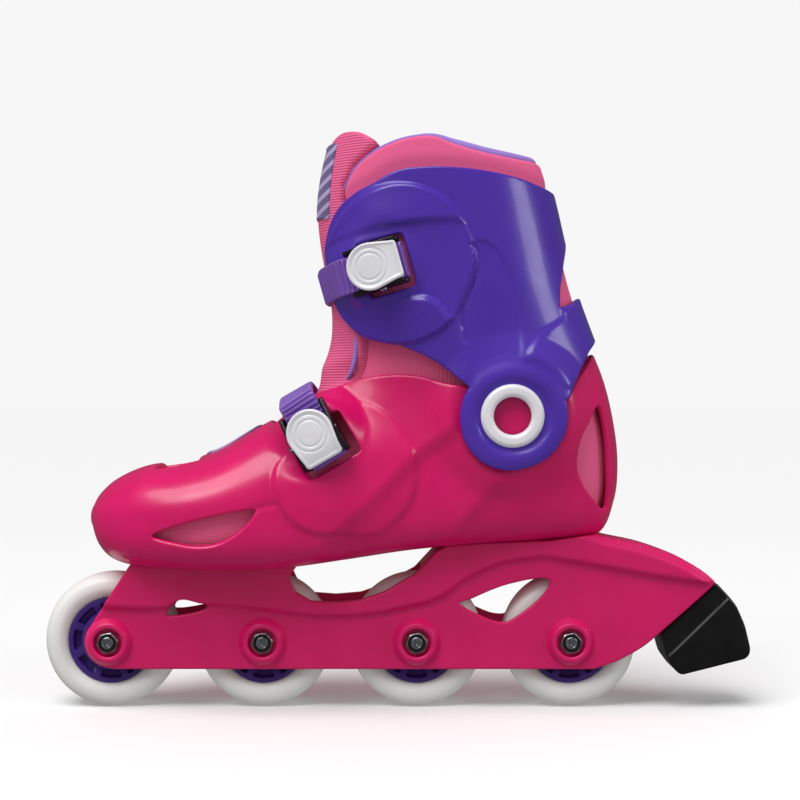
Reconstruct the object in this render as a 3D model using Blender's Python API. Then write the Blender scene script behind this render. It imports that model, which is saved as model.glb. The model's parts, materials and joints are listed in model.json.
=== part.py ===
"""A child's inline skate for the left foot: boot, cuff, chassis, four wheels and heel brake.

Metres, +Z up. The toe points to -X and the outer (lateral) side of the foot is at -Y.
The origin is on the floor under the middle of the skate's bounding box.
"""

import math

import bmesh
import bpy
from mathutils import Matrix, Vector

MM = 0.001

# --- driving dimensions -------------------------------------------------------------------------
WHEEL_R = 31.5 * MM
WHEEL_COUNT = 4
AXLE_PITCH = 72 * MM
FRONT_AXLE_X = -134.5 * MM
AXLE_X = [FRONT_AXLE_X + AXLE_PITCH * i for i in range(WHEEL_COUNT)]
AXLE_Z = WHEEL_R
GAP = 0.3 * MM  # what touching solids keep between them
CENTRE_Y = 4.46 * MM  # the chassis's middle plane, once the whole skate is centred on the origin

PIVOT_X, PIVOT_Z = 52.5 * MM, 137.5 * MM  # axis of the cuff's hinge, along Y
DISC_R = 23.6 * MM
SHELL_WALL = 2.8 * MM
CUFF_INNER, CUFF_OUTER = 0.6 * MM, 3.4 * MM  # offsets of the cuff's two faces from the boot form
LINER_WALL = 5 * MM
PLATE_IN, PLATE_OUT = 13.5 * MM, 16.5 * MM  # faces of the chassis side plates, as distances from Y = 0
ARM_OUT = 19.5 * MM  # outer face of the raised arms that carry the boot
BOSS_OUT = 20 * MM

# The boot form: one row for each section, in millimetres. Each section spans from a front point
# (top of the toe, instep, shin) to a back point (sole, heel, calf), is twice half_width across, and has
# a superellipse exponent at each end: 2 is round and 5 is nearly square.
#        front x, z      back x, z    half_width  front, back exponent
BOOT_SECTIONS = (
    (-143.4, 95.2, -143.4, 84.2, 12.0, 2.0, 2.0),
    (-139.8, 101.2, -139.6, 75.0, 21.5, 2.1, 2.2),
    (-131.8, 107.9, -132.5, 69.3, 30.5, 2.2, 2.6),
    (-118.5, 113.6, -120.0, 66.6, 38.5, 2.3, 3.2),
    (-101.0, 116.2, -98.0, 65.6, 44.0, 2.3, 3.8),
    (-84.0, 121.2, -74.5, 65.4, 46.0, 2.3, 4.2),
    (-68.0, 130.5, -49.0, 66.8, 45.0, 2.2, 4.4),
    (-54.0, 138.4, -22.0, 70.4, 42.5, 2.2, 4.4),
    (-44.5, 146.5, 8.0, 74.6, 39.5, 2.2, 4.2),
    (-38.2, 155.0, 40.0, 77.0, 37.5, 2.2, 3.6),
    (-33.6, 164.0, 72.0, 78.0, 36.5, 2.2, 2.9),
    (-31.2, 172.6, 95.3, 81.2, 36.5, 2.2, 2.5),
    (-30.6, 180.6, 103.4, 97.0, 37.0, 2.2, 2.3),
    (-31.0, 188.6, 105.2, 115.0, 37.6, 2.2, 2.2),
    (-32.2, 197.0, 103.2, 134.0, 38.2, 2.2, 2.2),
    (-34.0, 206.0, 98.4, 154.0, 38.6, 2.2, 2.2),
    (-35.7, 215.5, 90.0, 175.0, 38.8, 2.2, 2.2),
    (-37.0, 225.5, 82.6, 196.0, 38.8, 2.2, 2.2),
    (-37.4, 235.5, 77.4, 217.0, 38.6, 2.2, 2.2),
    (-36.4, 246.0, 71.8, 241.0, 38.4, 2.2, 2.2),
    (-34.2, 257.5, 66.2, 258.5, 38.2, 2.2, 2.2),
    (-31.4, 268.0, 61.5, 272.0, 38.0, 2.2, 2.2),
    (-28.8, 278.0, 58.0, 284.0, 38.0, 2.2, 2.2),
)
AROUND = 24  # points round each section

# Side-view outlines, in millimetres (x, z).
SHELL_RIM = (
    (-90, 121), (-70, 126.5), (-57, 134), (-39.4, 147.7), (-26.9, 151.8), (-17, 154.7), (-7.7, 156),
    (2.7, 156.4), (12, 155.2), (19.8, 152.9), (31.1, 151), (52, 149.5), (68, 146), (76.8, 144.7),
    (94, 167.7), (104, 173),
)
CUFF_TOP = (
    (-9.3, 243), (0.6, 248.2), (11.4, 249.7), (25.1, 249.7), (39.9, 248.3), (55.3, 245.6), (66.3, 242.6),
    (96, 236),
)
CUFF_FRONT = (
    (28, 154.8), (20.1, 161.2), (11.3, 166.1), (2.6, 169.5), (-6.2, 171), (-14.1, 173.5),
    (-20.1, 179), (-25.1, 186.5), (-29.1, 196.5), (-31.3, 212.5), (-30.3, 220.4), (-27.7, 228.3),
    (-22.7, 235), (-15.2, 240.3),
)
CUFF_REAR = ((104, 172), (92.5, 172), (87.5, 166.3), (80.4, 153), (76.3, 145.1))
REAR_WINDOW = (
    (110, 220.5), (78.7, 220.2), (75.9, 207.8), (73.8, 195.2), (73.5, 186.5), (79, 188.3), (84.5, 192.7),
    (110, 197),
)
TOE_VENT = (
    (-110.6, 82.9), (-96.6, 88.5), (-80.1, 92.7), (-64.8, 95.3), (-65.1, 91.6), (-70.8, 85.3),
    (-80, 79.6), (-89.3, 78), (-98.9, 79.2),
)
HEEL_SLOT = (
    (94.3, 142.1), (90.1, 135), (85.5, 126.8), (83.8, 118.6), (84.1, 111.6), (88.1, 103.1), (97.3, 93.4),
    (99.3, 98.7), (99.5, 108.4), (98.7, 124), (96.9, 136.1),
)
COLLAR_TOP = (
    (-60, 215), (-28, 232.3), (-24.3, 241.7), (-19.5, 250.9), (-11.3, 257.7), (0.3, 262.9), (12, 265.1),
    (19.3, 264.4), (25.3, 261.9), (40.2, 258.1), (55.9, 256.2), (66.3, 256.2), (100, 256.2),
)
THROAT = (  # the liner's front edge, with the tongue in front of it
    (-25, 236), (-22, 222), (-20, 205), (-19, 190), (-19, 177.1), (-20.2, 160.7), (-26.6, 150),
    (-38, 140), (-52, 128), (-66, 119),
)
TONGUE_TOP = ((-33, 266), (-31, 270), (-25.5, 271.8), (-16.9, 270), (-9.4, 264))
FRAME_OUTLINE = (
    (-123.6, 80), (-123.6, 68.9), (-145, 36.1), (-145.7, 31.5), (-144.2, 25.5), (-139, 20.6), (-131.9, 18.8),
    (92.2, 18.8), (102.9, 22.4), (114.9, 28.9), (123.8, 36.2), (146.7, 56.5), (148.3, 60.5),
    (138.7, 67.7), (126.8, 73), (114.9, 76.9), (102.9, 79.4), (96, 81), (88, 84), (20, 84), (-20, 80),
)
OPENINGS = (
    ((-107.4, 43.8), (-105.1, 48.6), (-100.3, 51.6), (-93.8, 50.4), (-88.4, 48), (-95, 45.2)),
    ((-50.3, 61.7), (-47.3, 66), (-40, 80), (30, 80), (19, 74.5), (8.8, 63.5), (1.7, 59.6), (-5.6, 55.2),
     (-17.5, 51.2), (-29.4, 50.2), (-40.1, 51), (-47.3, 55.2)),
    ((29.7, 49.2), (35, 51.6), (49.3, 57.6), (64.8, 61.1), (72, 59.9), (66.1, 51), (54.1, 42.1),
     (49.3, 40.9), (42.2, 42.7)),
)
FRONT_ARM = ((-123, 80), (-123, 66.5), (-116.5, 45.5), (-90, 48), (-62, 45.8), (-37, 42.6), (-12, 43.6),
             (5, 47), (20, 49.8), (40, 64), (32, 84), (-30, 84))
REAR_ARM = ((66, 84), (69, 72), (91, 66.5), (118, 61.5), (146, 57.5), (147.5, 60.5), (138, 67),
            (126.8, 72.2), (114.9, 76.2), (103, 78.8), (96.5, 80.2), (88, 84))
BRAKE_OUTLINE = (
    (124.4, 36), (147, 56.1), (148.9, 60.2), (155.5, 53.2), (159.4, 48.3), (163.4, 39.1), (166, 27.9),
    (165.3, 25), (163.4, 23.3), (133.8, 15.8), (131.5, 17.1), (129.8, 19.4), (126.5, 24), (124.2, 33),
)

# The buckles: centre of the round finger pad, direction from there to the square end, and the way the
# buckle faces, all as the side view shows them.
BUCKLES = {
    "upper": {"x": -9.5 * MM, "z": 204.4 * MM, "slope": 15.6, "turn": 14, "face_y": -40.0 * MM},
    "lower": {"x": -36.8 * MM, "z": 129.9 * MM, "slope": -60, "turn": 10, "face_y": -42.5 * MM},
}
STRAP_WIDTH = {"upper": 16.4 * MM, "lower": 17.6 * MM}
STRAP_THICK = 2.2 * MM
PAD_R = 10.8 * MM  # the lever's round finger pad
PIN_AT = (2.6 * MM, 6.6 * MM)  # the lever's pin: along the buckle, and out from its seat
PIN_R = 1.0 * MM


# --- materials ----------------------------------------------------------------------------------
COLOURS = {
    "shell_pink": ((0.83, 0.02, 0.21), 0.32, 0.0),
    "cuff_purple": ((0.10, 0.03, 0.36), 0.35, 0.0),
    "strap_purple": ((0.20, 0.07, 0.47), 0.45, 0.0),
    "liner_pink": ((0.86, 0.15, 0.33), 0.9, 0.0),
    "lining_lilac": ((0.45, 0.30, 0.75), 0.9, 0.0),
    "lever_white": ((0.85, 0.85, 0.86), 0.35, 0.0),
    "buckle_black": ((0.02, 0.02, 0.02), 0.4, 0.0),
    "steel": ((0.62, 0.63, 0.64), 0.3, 1.0),
    "tyre_white": ((0.80, 0.80, 0.78), 0.35, 0.0),
    "hub_purple": ((0.10, 0.03, 0.30), 0.4, 0.0),
    "brake_black": ((0.015, 0.015, 0.015), 0.5, 0.0),
}


def material(slot):
    """The Principled material of one finish, made the first time that it is asked for."""
    found = bpy.data.materials.get(slot)
    if found:
        return found
    colour, roughness, metallic = COLOURS[slot]
    made = bpy.data.materials.new(slot)
    made.use_nodes = True
    shader = made.node_tree.nodes["Principled BSDF"]
    shader.inputs["Base Color"].default_value = (*colour, 1)
    shader.inputs["Roughness"].default_value = roughness
    shader.inputs["Metallic"].default_value = metallic
    return made


# --- mesh helpers -------------------------------------------------------------------------------
def new_object(name, bm, slot, smooth=40):
    """An object made from a bmesh, with its faces turned outwards."""
    bmesh.ops.recalc_face_normals(bm, faces=bm.faces)
    mesh = bpy.data.meshes.new(name)
    bm.to_mesh(mesh)
    bm.free()
    mesh.shade_smooth()
    mesh.set_sharp_from_angle(angle=math.radians(smooth))
    mesh.materials.append(material(slot))
    obj = bpy.data.objects.new(name, mesh)
    bpy.context.scene.collection.objects.link(obj)
    return obj


def hide(obj):
    """Marks a cutter or another helper, which isn't a part of the skate."""
    obj.hide_render = True
    obj.display_type = "WIRE"
    return obj


def boolean(obj, other, operation):
    """Cuts, joins or trims obj with other, which becomes a helper."""
    hide(other)
    modifier = obj.modifiers.new(operation.title(), "BOOLEAN")
    modifier.operation = operation
    modifier.solver = "EXACT"
    modifier.object = other
    return obj


def cut(obj, *cutters):
    for cutter in cutters:
        boolean(obj, cutter, "DIFFERENCE")
    return obj


def join(obj, *others):
    for other in others:
        boolean(obj, other, "UNION")
    return obj


def bridged(rings, wrap=False, smooth=40, name="form", slot="shell_pink"):
    """A solid through rings of points. It is capped at both ends, or joined end to end with wrap."""
    bm = bmesh.new()
    loops = [[bm.verts.new(p) for p in ring] for ring in rings]
    count = len(loops[0])
    pairs = list(zip(loops, loops[1:] + loops[:1])) if wrap else list(zip(loops, loops[1:]))
    for a, b in pairs:
        for i in range(count):
            j = (i + 1) % count
            bm.faces.new((a[i], a[j], b[j]))
            bm.faces.new((a[i], b[j], b[i]))
    if not wrap:
        bm.faces.new(loops[0])
        bm.faces.new(loops[-1])
    return new_object(name, bm, slot, smooth)


def prism(name, outline, low_y, high_y, slot="shell_pink"):
    """The (x, z) outline made a solid from low_y to high_y."""
    bm = bmesh.new()
    face = bm.faces.new([bm.verts.new((x, low_y, z)) for x, z in outline])
    grown = bmesh.ops.extrude_face_region(bm, geom=[face])
    moved = [g for g in grown["geom"] if isinstance(g, bmesh.types.BMVert)]
    bmesh.ops.translate(bm, verts=moved, vec=(0, high_y - low_y, 0))
    return new_object(name, bm, slot)


def turned(name, profile, slot, segments=24, phase=0.0):
    """A round solid about the Y axis: the closed (radius, y) profile is spun a full turn."""
    bm = bmesh.new()
    start = Matrix.Rotation(phase, 3, "Y")
    verts = [bm.verts.new(start @ Vector((r, y, 0))) for r, y in profile]
    edges = [bm.edges.new((verts[i], verts[(i + 1) % len(verts)])) for i in range(len(verts))]
    bmesh.ops.spin(
        bm, geom=verts + edges, cent=(0, 0, 0), axis=(0, 1, 0),
        angle=math.tau, steps=segments, use_merge=True,
    )
    bmesh.ops.remove_doubles(bm, verts=bm.verts, dist=0.01 * MM)
    bmesh.ops.dissolve_degenerate(bm, edges=bm.edges, dist=0.001 * MM)
    loose = [e for e in bm.edges if not e.link_faces]
    bmesh.ops.delete(bm, geom=loose, context="EDGES")
    return new_object(name, bm, slot)


def rod(name, radius, low_y, high_y, slot, segments=16, phase=0.0):
    """A round bar along Y."""
    bm = bmesh.new()
    bmesh.ops.create_cone(
        bm, cap_ends=True, segments=segments, radius1=radius, radius2=radius, depth=high_y - low_y,
        matrix=Matrix.Translation((0, (low_y + high_y) / 2, 0))
        @ Matrix.Rotation(math.radians(90), 4, "X") @ Matrix.Rotation(phase, 4, "Z"),
    )
    return new_object(name, bm, slot)


def block(name, size, centre, slot, bevel=0.0):
    """A box, with its edges rounded where bevel is given."""
    bm = bmesh.new()
    bmesh.ops.create_cube(bm, size=1)
    bmesh.ops.scale(bm, vec=size, verts=bm.verts)
    if bevel:
        bmesh.ops.bevel(
            bm, geom=bm.edges, offset=bevel, segments=2, profile=0.5, affect="EDGES",
        )
    bmesh.ops.translate(bm, vec=centre, verts=bm.verts)
    return new_object(name, bm, slot)


def smooth_loop(points, steps=4, closed=True):
    """Points on a Catmull-Rom curve through the given (x, z) points, in metres from millimetres."""
    count = len(points)
    found = []
    spans = count if closed else count - 1
    for i in range(spans):
        p = [points[(i + k) % count] if closed else points[min(max(i + k, 0), count - 1)] for k in (-1, 0, 1, 2)]
        for step in range(steps):
            t = step / steps
            found.append(tuple(catmull(p, t, axis) * MM for axis in (0, 1)))
    if not closed:
        found.append((points[-1][0] * MM, points[-1][1] * MM))
    return found


def catmull(p, t, axis):
    """One coordinate of the Catmull-Rom curve from p[1] to p[2]."""
    a, b, c, d = (q[axis] for q in p)
    return 0.5 * (2 * b + (c - a) * t + (2 * a - 5 * b + 4 * c - d) * t * t + (3 * b - a - 3 * c + d) * t**3)


def arc(cx, cz, r, start, end, steps):
    """Points on a circle round (cx, cz), from one angle to another in degrees."""
    return [
        (cx + r * math.cos(math.radians(start + (end - start) * i / steps)),
         cz + r * math.sin(math.radians(start + (end - start) * i / steps)))
        for i in range(steps + 1)
    ]


def smoothstep(low, high, value):
    t = min(max((value - low) / (high - low), 0.0), 1.0)
    return t * t * (3 - 2 * t)


# --- the boot form ------------------------------------------------------------------------------
LAST = len(BOOT_SECTIONS) - 1


def section_row(u):
    """The section at u, where whole numbers are the rows of BOOT_SECTIONS."""
    i = min(int(u), LAST - 1)
    rows = [BOOT_SECTIONS[min(max(i + k, 0), LAST)] for k in (-1, 0, 1, 2)]
    return [catmull(rows, u - i, k) for k in range(7)]


def contour_normal(u, column):
    """The unit normal of the front (column 0) or back (column 2) contour at u, pointing outwards."""
    before, after = section_row(max(u - 0.05, 0)), section_row(min(u + 0.05, LAST))
    along = Vector((after[column] - before[column], after[column + 1] - before[column + 1]))
    turned_left = Vector((-along.y, along.x)).normalized()
    return turned_left if column == 0 else -turned_left


def boot_point(u, angle, offset):
    """A point of the boot form grown by offset metres. Angle 0 is the front and +90 the medial side."""
    fx, fz, bx, bz, half, n_front, n_back = section_row(u)
    grow = offset / MM
    front = Vector((fx, fz)) + contour_normal(u, 0) * grow
    back = Vector((bx, bz)) + contour_normal(u, 2) * grow
    half += grow * min(1.0, half / 20)
    c, s = math.cos(angle), math.sin(angle)
    power = 2 / (n_front if c > 0 else n_back)
    along = math.copysign(abs(c) ** power, c)
    middle = (front + back) / 2
    place = middle + (front - back) / 2 * along
    return Vector((place.x * MM, math.copysign(half * abs(s) ** power, s) * MM, place.y * MM))


def pivot_flat(p, level):
    """Flattens the side round the cuff's pivot, so that the cuff can turn on it."""
    away = math.hypot(p.x - PIVOT_X, p.z - PIVOT_Z)
    share = 1 - smoothstep(25 * MM, 40 * MM, away)
    p.y += (math.copysign(level, p.y) - p.y) * share
    return p


def buckle_axes(which):
    """The centre, the direction towards the hinge end, the direction across and the way out of a buckle."""
    b = BUCKLES[which]
    slope, turn = math.radians(b["slope"]), math.radians(b["turn"])
    out = Vector((-math.sin(turn), -math.cos(turn), 0))
    along = Vector((math.cos(slope), 0, math.sin(slope)))
    along = (along - out * along.dot(out)).normalized()
    return Vector((b["x"], b["face_y"], b["z"])), along, out.cross(along), out


def buckle_seat(p, which):
    """Draws the lateral side flat under a buckle, on the plane that the buckle sits on."""
    if p.y > 0:
        return p
    centre, _, _, out = buckle_axes(which)
    away = math.hypot(p.x - centre.x, p.z - centre.z)
    share = 1 - smoothstep(13 * MM, 25 * MM, away)
    plane_y = centre.y - ((p.x - centre.x) * out.x + (p.z - centre.z) * out.z) / out.y
    p.y += (plane_y - p.y) * share
    return p


def boot_rings(place, sections, around=AROUND):
    """Rings of points on a boot surface, one for each section in the list."""
    return [[place(u, math.tau * k / around) for k in range(around)] for u in sections]


def rows(first, last, per_row=1):
    """Section numbers from first to last. Surfaces that lie on each other share them."""
    count = round((last - first) * per_row)
    return [first + i / per_row for i in range(count + 1)]


def shell_face(u, angle):
    p = boot_point(u, angle, 0)
    return buckle_seat(pivot_flat(p, 39.8 * MM), "lower")


def shell_inside(u, angle):
    return pivot_flat(boot_point(u, angle, -SHELL_WALL), 36.4 * MM)


def cuff_face(u, angle):
    p = boot_point(u, angle, CUFF_OUTER)
    return buckle_seat(pivot_flat(p, 43.6 * MM), "upper")


def cuff_inside(u, angle):
    return pivot_flat(boot_point(u, angle, CUFF_INNER), 39.5 * MM)


def liner_offset(z):
    """The liner keeps clear of the shell low down and fills the cuff higher up."""
    low = -SHELL_WALL - 3 * GAP
    return low + (-GAP - low) * smoothstep(173 * MM, 193 * MM, z)


def liner_face(u, angle):
    first = boot_point(u, angle, 0)
    return boot_point(u, angle, liner_offset(first.z))


def liner_inside(u, angle):
    first = boot_point(u, angle, 0)
    return boot_point(u, angle, liner_offset(first.z) - LINER_WALL)


def shell_rim(x):
    """Height of the shell's rim over x, both in metres."""
    at = x / MM
    for (x0, z0), (x1, z1) in zip(SHELL_RIM, SHELL_RIM[1:]):
        if at <= x1:
            return (z0 + (z1 - z0) * max(at - x0, 0) / (x1 - x0)) * MM
    return SHELL_RIM[-1][1] * MM


def above_rim(p, low, high):
    """0 below the shell's rim and 1 well above it, between low and high over the rim."""
    return smoothstep(low, high, p.z - shell_rim(p.x))


def section_at(x, z):
    """Which section (u) passes through the side-view point x, z (metres), and where along it (-1..1)."""
    low, high = 0.0, float(LAST)

    def side(u):
        fx, fz, bx, bz = section_row(u)[:4]
        return (bx - fx) * (z / MM - fz) - (bz - fz) * (x / MM - fx)

    for _ in range(30):
        middle = (low + high) / 2
        if side(middle) > 0:
            low = middle
        else:
            high = middle
    fx, fz, bx, bz = section_row(low)[:4]
    chord = Vector((fx - bx, fz - bz))
    centre = Vector(((fx + bx) / 2, (fz + bz) / 2))
    return low, 2 * (Vector((x / MM, z / MM)) - centre).dot(chord) / chord.length_squared


def side_reach(x, z, offset=0.0):
    """How far the boot form, grown by offset, reaches sideways from Y = 0 at a side-view point."""
    u, along = section_at(x, z)
    row = section_row(u)
    length = Vector((row[0] - row[2], row[1] - row[3])).length
    along *= length / (length + 2 * offset / MM)
    if abs(along) >= 1:
        return 0.0
    power = row[5] if along > 0 else row[6]
    return (row[4] * MM + offset) * (1 - abs(along) ** power) ** (1 / power)


# --- boot ---------------------------------------------------------------------------------------
def outline_mm(points):
    return [(x * MM, z * MM) for x, z in points]


def above_outline(name, edge, far_z):
    """A cutter for everything above an open side-view edge."""
    points = outline_mm(edge) + [(edge[-1][0] * MM, far_z), (edge[0][0] * MM, far_z)]
    return prism(name, points, -0.1, 0.1)


def make_shell():
    shell = bridged(boot_rings(shell_face, rows(0, 17)), name="shell", slot="shell_pink")
    inside = bridged(boot_rings(shell_inside, rows(1, 18)), name="shell_space")
    cut(shell, inside)
    rim = [(-160, 200), (-90, 160), (-57, 134)] + list(SHELL_RIM[3:])
    cut(shell, above_outline("shell_rim_cut", rim, 0.32))
    for label, outline in (("toe_vent_cut", TOE_VENT), ("heel_slot_cut", HEEL_SLOT)):
        cut(shell, prism(label, outline_mm(outline), -0.1, 0.1))
    cut(shell, block("top_vent_cut", (18 * MM, 22 * MM, 20 * MM), (-102 * MM, 0, 118 * MM), "shell_pink"))
    bore = [(0, 30), (10.6, 30), (10.6, 37.8), (8.5, 37.8), (8.5, 39.4), (27, 39.4), (27, 60), (0, 60)]
    for side in (-1, 1):
        room = turned(f"pivot_room_{side}", [(r * MM, side * y * MM) for r, y in bore], "shell_pink", 24, 0.05)
        room.location = (PIVOT_X, 0, PIVOT_Z)
        cut(shell, room)
    for x in FRAME_BOLT_X:
        cut(shell, upright("shell_bolt_hole", 2.8 * MM, x, 0.05, 0.09))
    cut_anchor(shell, "lower")
    return shell


def make_cuff():
    cuff = bridged(boot_rings(cuff_face, rows(10, 21)), name="cuff", slot="cuff_purple")
    cut(cuff, bridged(boot_rings(cuff_inside, rows(9, 22)), name="cuff_space"))
    disc = arc(PIVOT_X / MM, PIVOT_Z / MM, DISC_R / MM, 17, -214, 22)
    outline = list(CUFF_TOP) + list(CUFF_REAR) + disc + list(CUFF_FRONT)
    trim = prism("cuff_outline", outline_mm(outline), -0.1, 0.1)
    boolean(cuff, trim, "INTERSECT")
    cut(cuff, prism("rear_window_cut", outline_mm(REAR_WINDOW), -0.1, 0.1))
    swing = rod("cuff_swing_room", 27 * MM, -40 * MM, 40 * MM, "cuff_purple", 32)
    swing.location = (PIVOT_X, 0, PIVOT_Z)
    cut(cuff, swing)
    for side in (-1, 1):
        hole = rod(f"cuff_pivot_hole_{side}", 8.5 * MM, *sorted((side * 30 * MM, side * 60 * MM)),
                   "cuff_purple", 24)
        hole.location = (PIVOT_X, 0, PIVOT_Z)
        cut(cuff, hole)
    cut_anchor(cuff, "upper")
    return cuff


def make_liner():
    liner = bridged(boot_rings(liner_face, rows(1, 21)), name="liner", slot="liner_pink")
    cut(liner, bridged(boot_rings(liner_inside, rows(2, 22)), name="liner_space"))
    cut(liner, above_outline("collar_cut", COLLAR_TOP, 0.32))
    slot = list(THROAT) + [(-90, 140), (-90, 290), (-25, 290)]
    cut(liner, prism("throat_cut", outline_mm(slot), -0.1, 0.1))
    for x in FRAME_BOLT_X:
        cut(liner, upright("liner_bolt_recess", 6.2 * MM, x, 0.05, sole_z(x) + 6.4 * MM))
    return liner


def tongue_offset(p):
    """The tongue passes under the shell's rim and comes out to the boot form above it."""
    return (-SHELL_WALL - 4 * GAP) * (1 - above_rim(p, 3 * MM, 12 * MM))


def tongue_face(u, angle):
    return boot_point(u, angle, tongue_offset(boot_point(u, angle, 0)))


def tongue_inside(u, angle):
    return boot_point(u, angle, tongue_offset(boot_point(u, angle, 0)) - 7 * MM)


def make_tongue():
    tongue = bridged(boot_rings(tongue_face, rows(5, 22, 2)), name="tongue", slot="liner_pink")
    cut(tongue, bridged(boot_rings(tongue_inside, rows(4.5, 22, 2)), name="tongue_space"))
    back = [(x - 0.6, z + 0.5) for x, z in THROAT[:-1]] + [(-62.6, 122.1)]
    front = [(-67, 127), (-80, 160), (-60, 266)]
    over_collar = [(-25.2, 244), (-20.4, 253.3), (-12.2, 260.2), (-8.5, 263)]
    outline = back[::-1] + over_collar + list(TONGUE_TOP)[::-1] + front[::-1]
    boolean(tongue, prism("tongue_outline", outline_mm(outline), -0.1, 0.1), "INTERSECT")
    return tongue


def sole_z(x):
    """Height of the outside of the sole over x (metres)."""
    at = x / MM
    for a, b in zip(BOOT_SECTIONS, BOOT_SECTIONS[1:]):
        if a[2] <= at <= b[2]:
            return (a[3] + (b[3] - a[3]) * (at - a[2]) / (b[2] - a[2])) * MM
    return BOOT_SECTIONS[10][3] * MM


def make_footbed():
    """The insole: it lies on the liner's floor, as a slab that follows the sole."""
    below = SHELL_WALL + 3 * GAP + LINER_WALL + GAP
    rings = []
    for i in range(17):
        x = (-124 + 212 * i / 16) * MM
        low = sole_z(x) + below + 1.2 * MM
        high = low + 3.2 * MM
        half_low = side_reach(x, low, -below) - 5 * MM
        half_high = side_reach(x, high, -below) - 4 * MM
        rings.append([(x, -half_low, low), (x, half_low, low), (x, half_high, high), (x, -half_high, high)])
    return bridged(rings, name="footbed", slot="lining_lilac", smooth=30)


def upright(name, radius, x, low, high, slot="steel", segments=16):
    """A round bar along Z."""
    bm = bmesh.new()
    bmesh.ops.create_cone(
        bm, cap_ends=True, segments=segments, radius1=radius, radius2=radius, depth=high - low,
        matrix=Matrix.Translation((x, 0, (low + high) / 2)),
    )
    return new_object(name, bm, slot)


# --- pivots -------------------------------------------------------------------------------------
def make_pivots():
    for side, label in ((-1, "lateral"), (1, "medial")):
        bush = [(0, 36.7), (10.2, 36.7), (10.2, 37.5), (8.2, 37.5), (8.2, 44.4), (7.4, 45.1), (0, 45.1)]
        ring = [(8.5, 43.9), (14.4, 43.9), (14.4, 45.0), (13.6, 45.7), (9.2, 45.7), (8.5, 45.0)]
        for name, profile, slot in (("pivot_rivet", bush, "cuff_purple"), ("pivot_ring", ring, "lever_white")):
            points = [(r * MM, side * y * MM) for r, y in profile]
            obj = turned(f"{name}_{label}", points, slot, 24)
            obj.location = (PIVOT_X, 0, PIVOT_Z)


# --- buckles and straps -------------------------------------------------------------------------
def buckle_matrix(which):
    centre, along, across, out = buckle_axes(which)
    return Matrix((
        (along.x, across.x, out.x, centre.x),
        (along.y, across.y, out.y, centre.y),
        (along.z, across.z, out.z, centre.z),
        (0, 0, 0, 1),
    ))


def slab(name, outline, low, high, slot, matrix):
    """An outline in the buckle's own plane, made solid between two heights over the seat."""
    bm = bmesh.new()
    face = bm.faces.new([bm.verts.new((x, y, low)) for x, y in outline])
    grown = bmesh.ops.extrude_face_region(bm, geom=[face])
    moved = [g for g in grown["geom"] if isinstance(g, bmesh.types.BMVert)]
    bmesh.ops.translate(bm, verts=moved, vec=(0, 0, high - low))
    bmesh.ops.transform(bm, matrix=matrix, verts=bm.verts)
    return new_object(name, bm, slot)


def rectangle(x0, x1, y0, y1):
    return [(x0 * MM, y0 * MM), (x1 * MM, y0 * MM), (x1 * MM, y1 * MM), (x0 * MM, y1 * MM)]


def cross_rod(name, radius, at, out, low, high, slot, matrix, segments=12):
    """A round bar across the buckle."""
    bm = bmesh.new()
    turn = Matrix.Rotation(math.radians(90), 4, "X")
    bmesh.ops.create_cone(
        bm, cap_ends=True, segments=segments, radius1=radius, radius2=radius, depth=high - low,
        matrix=matrix @ Matrix.Translation((at, (low + high) / 2, out)) @ turn,
    )
    return new_object(name, bm, slot)


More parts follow.
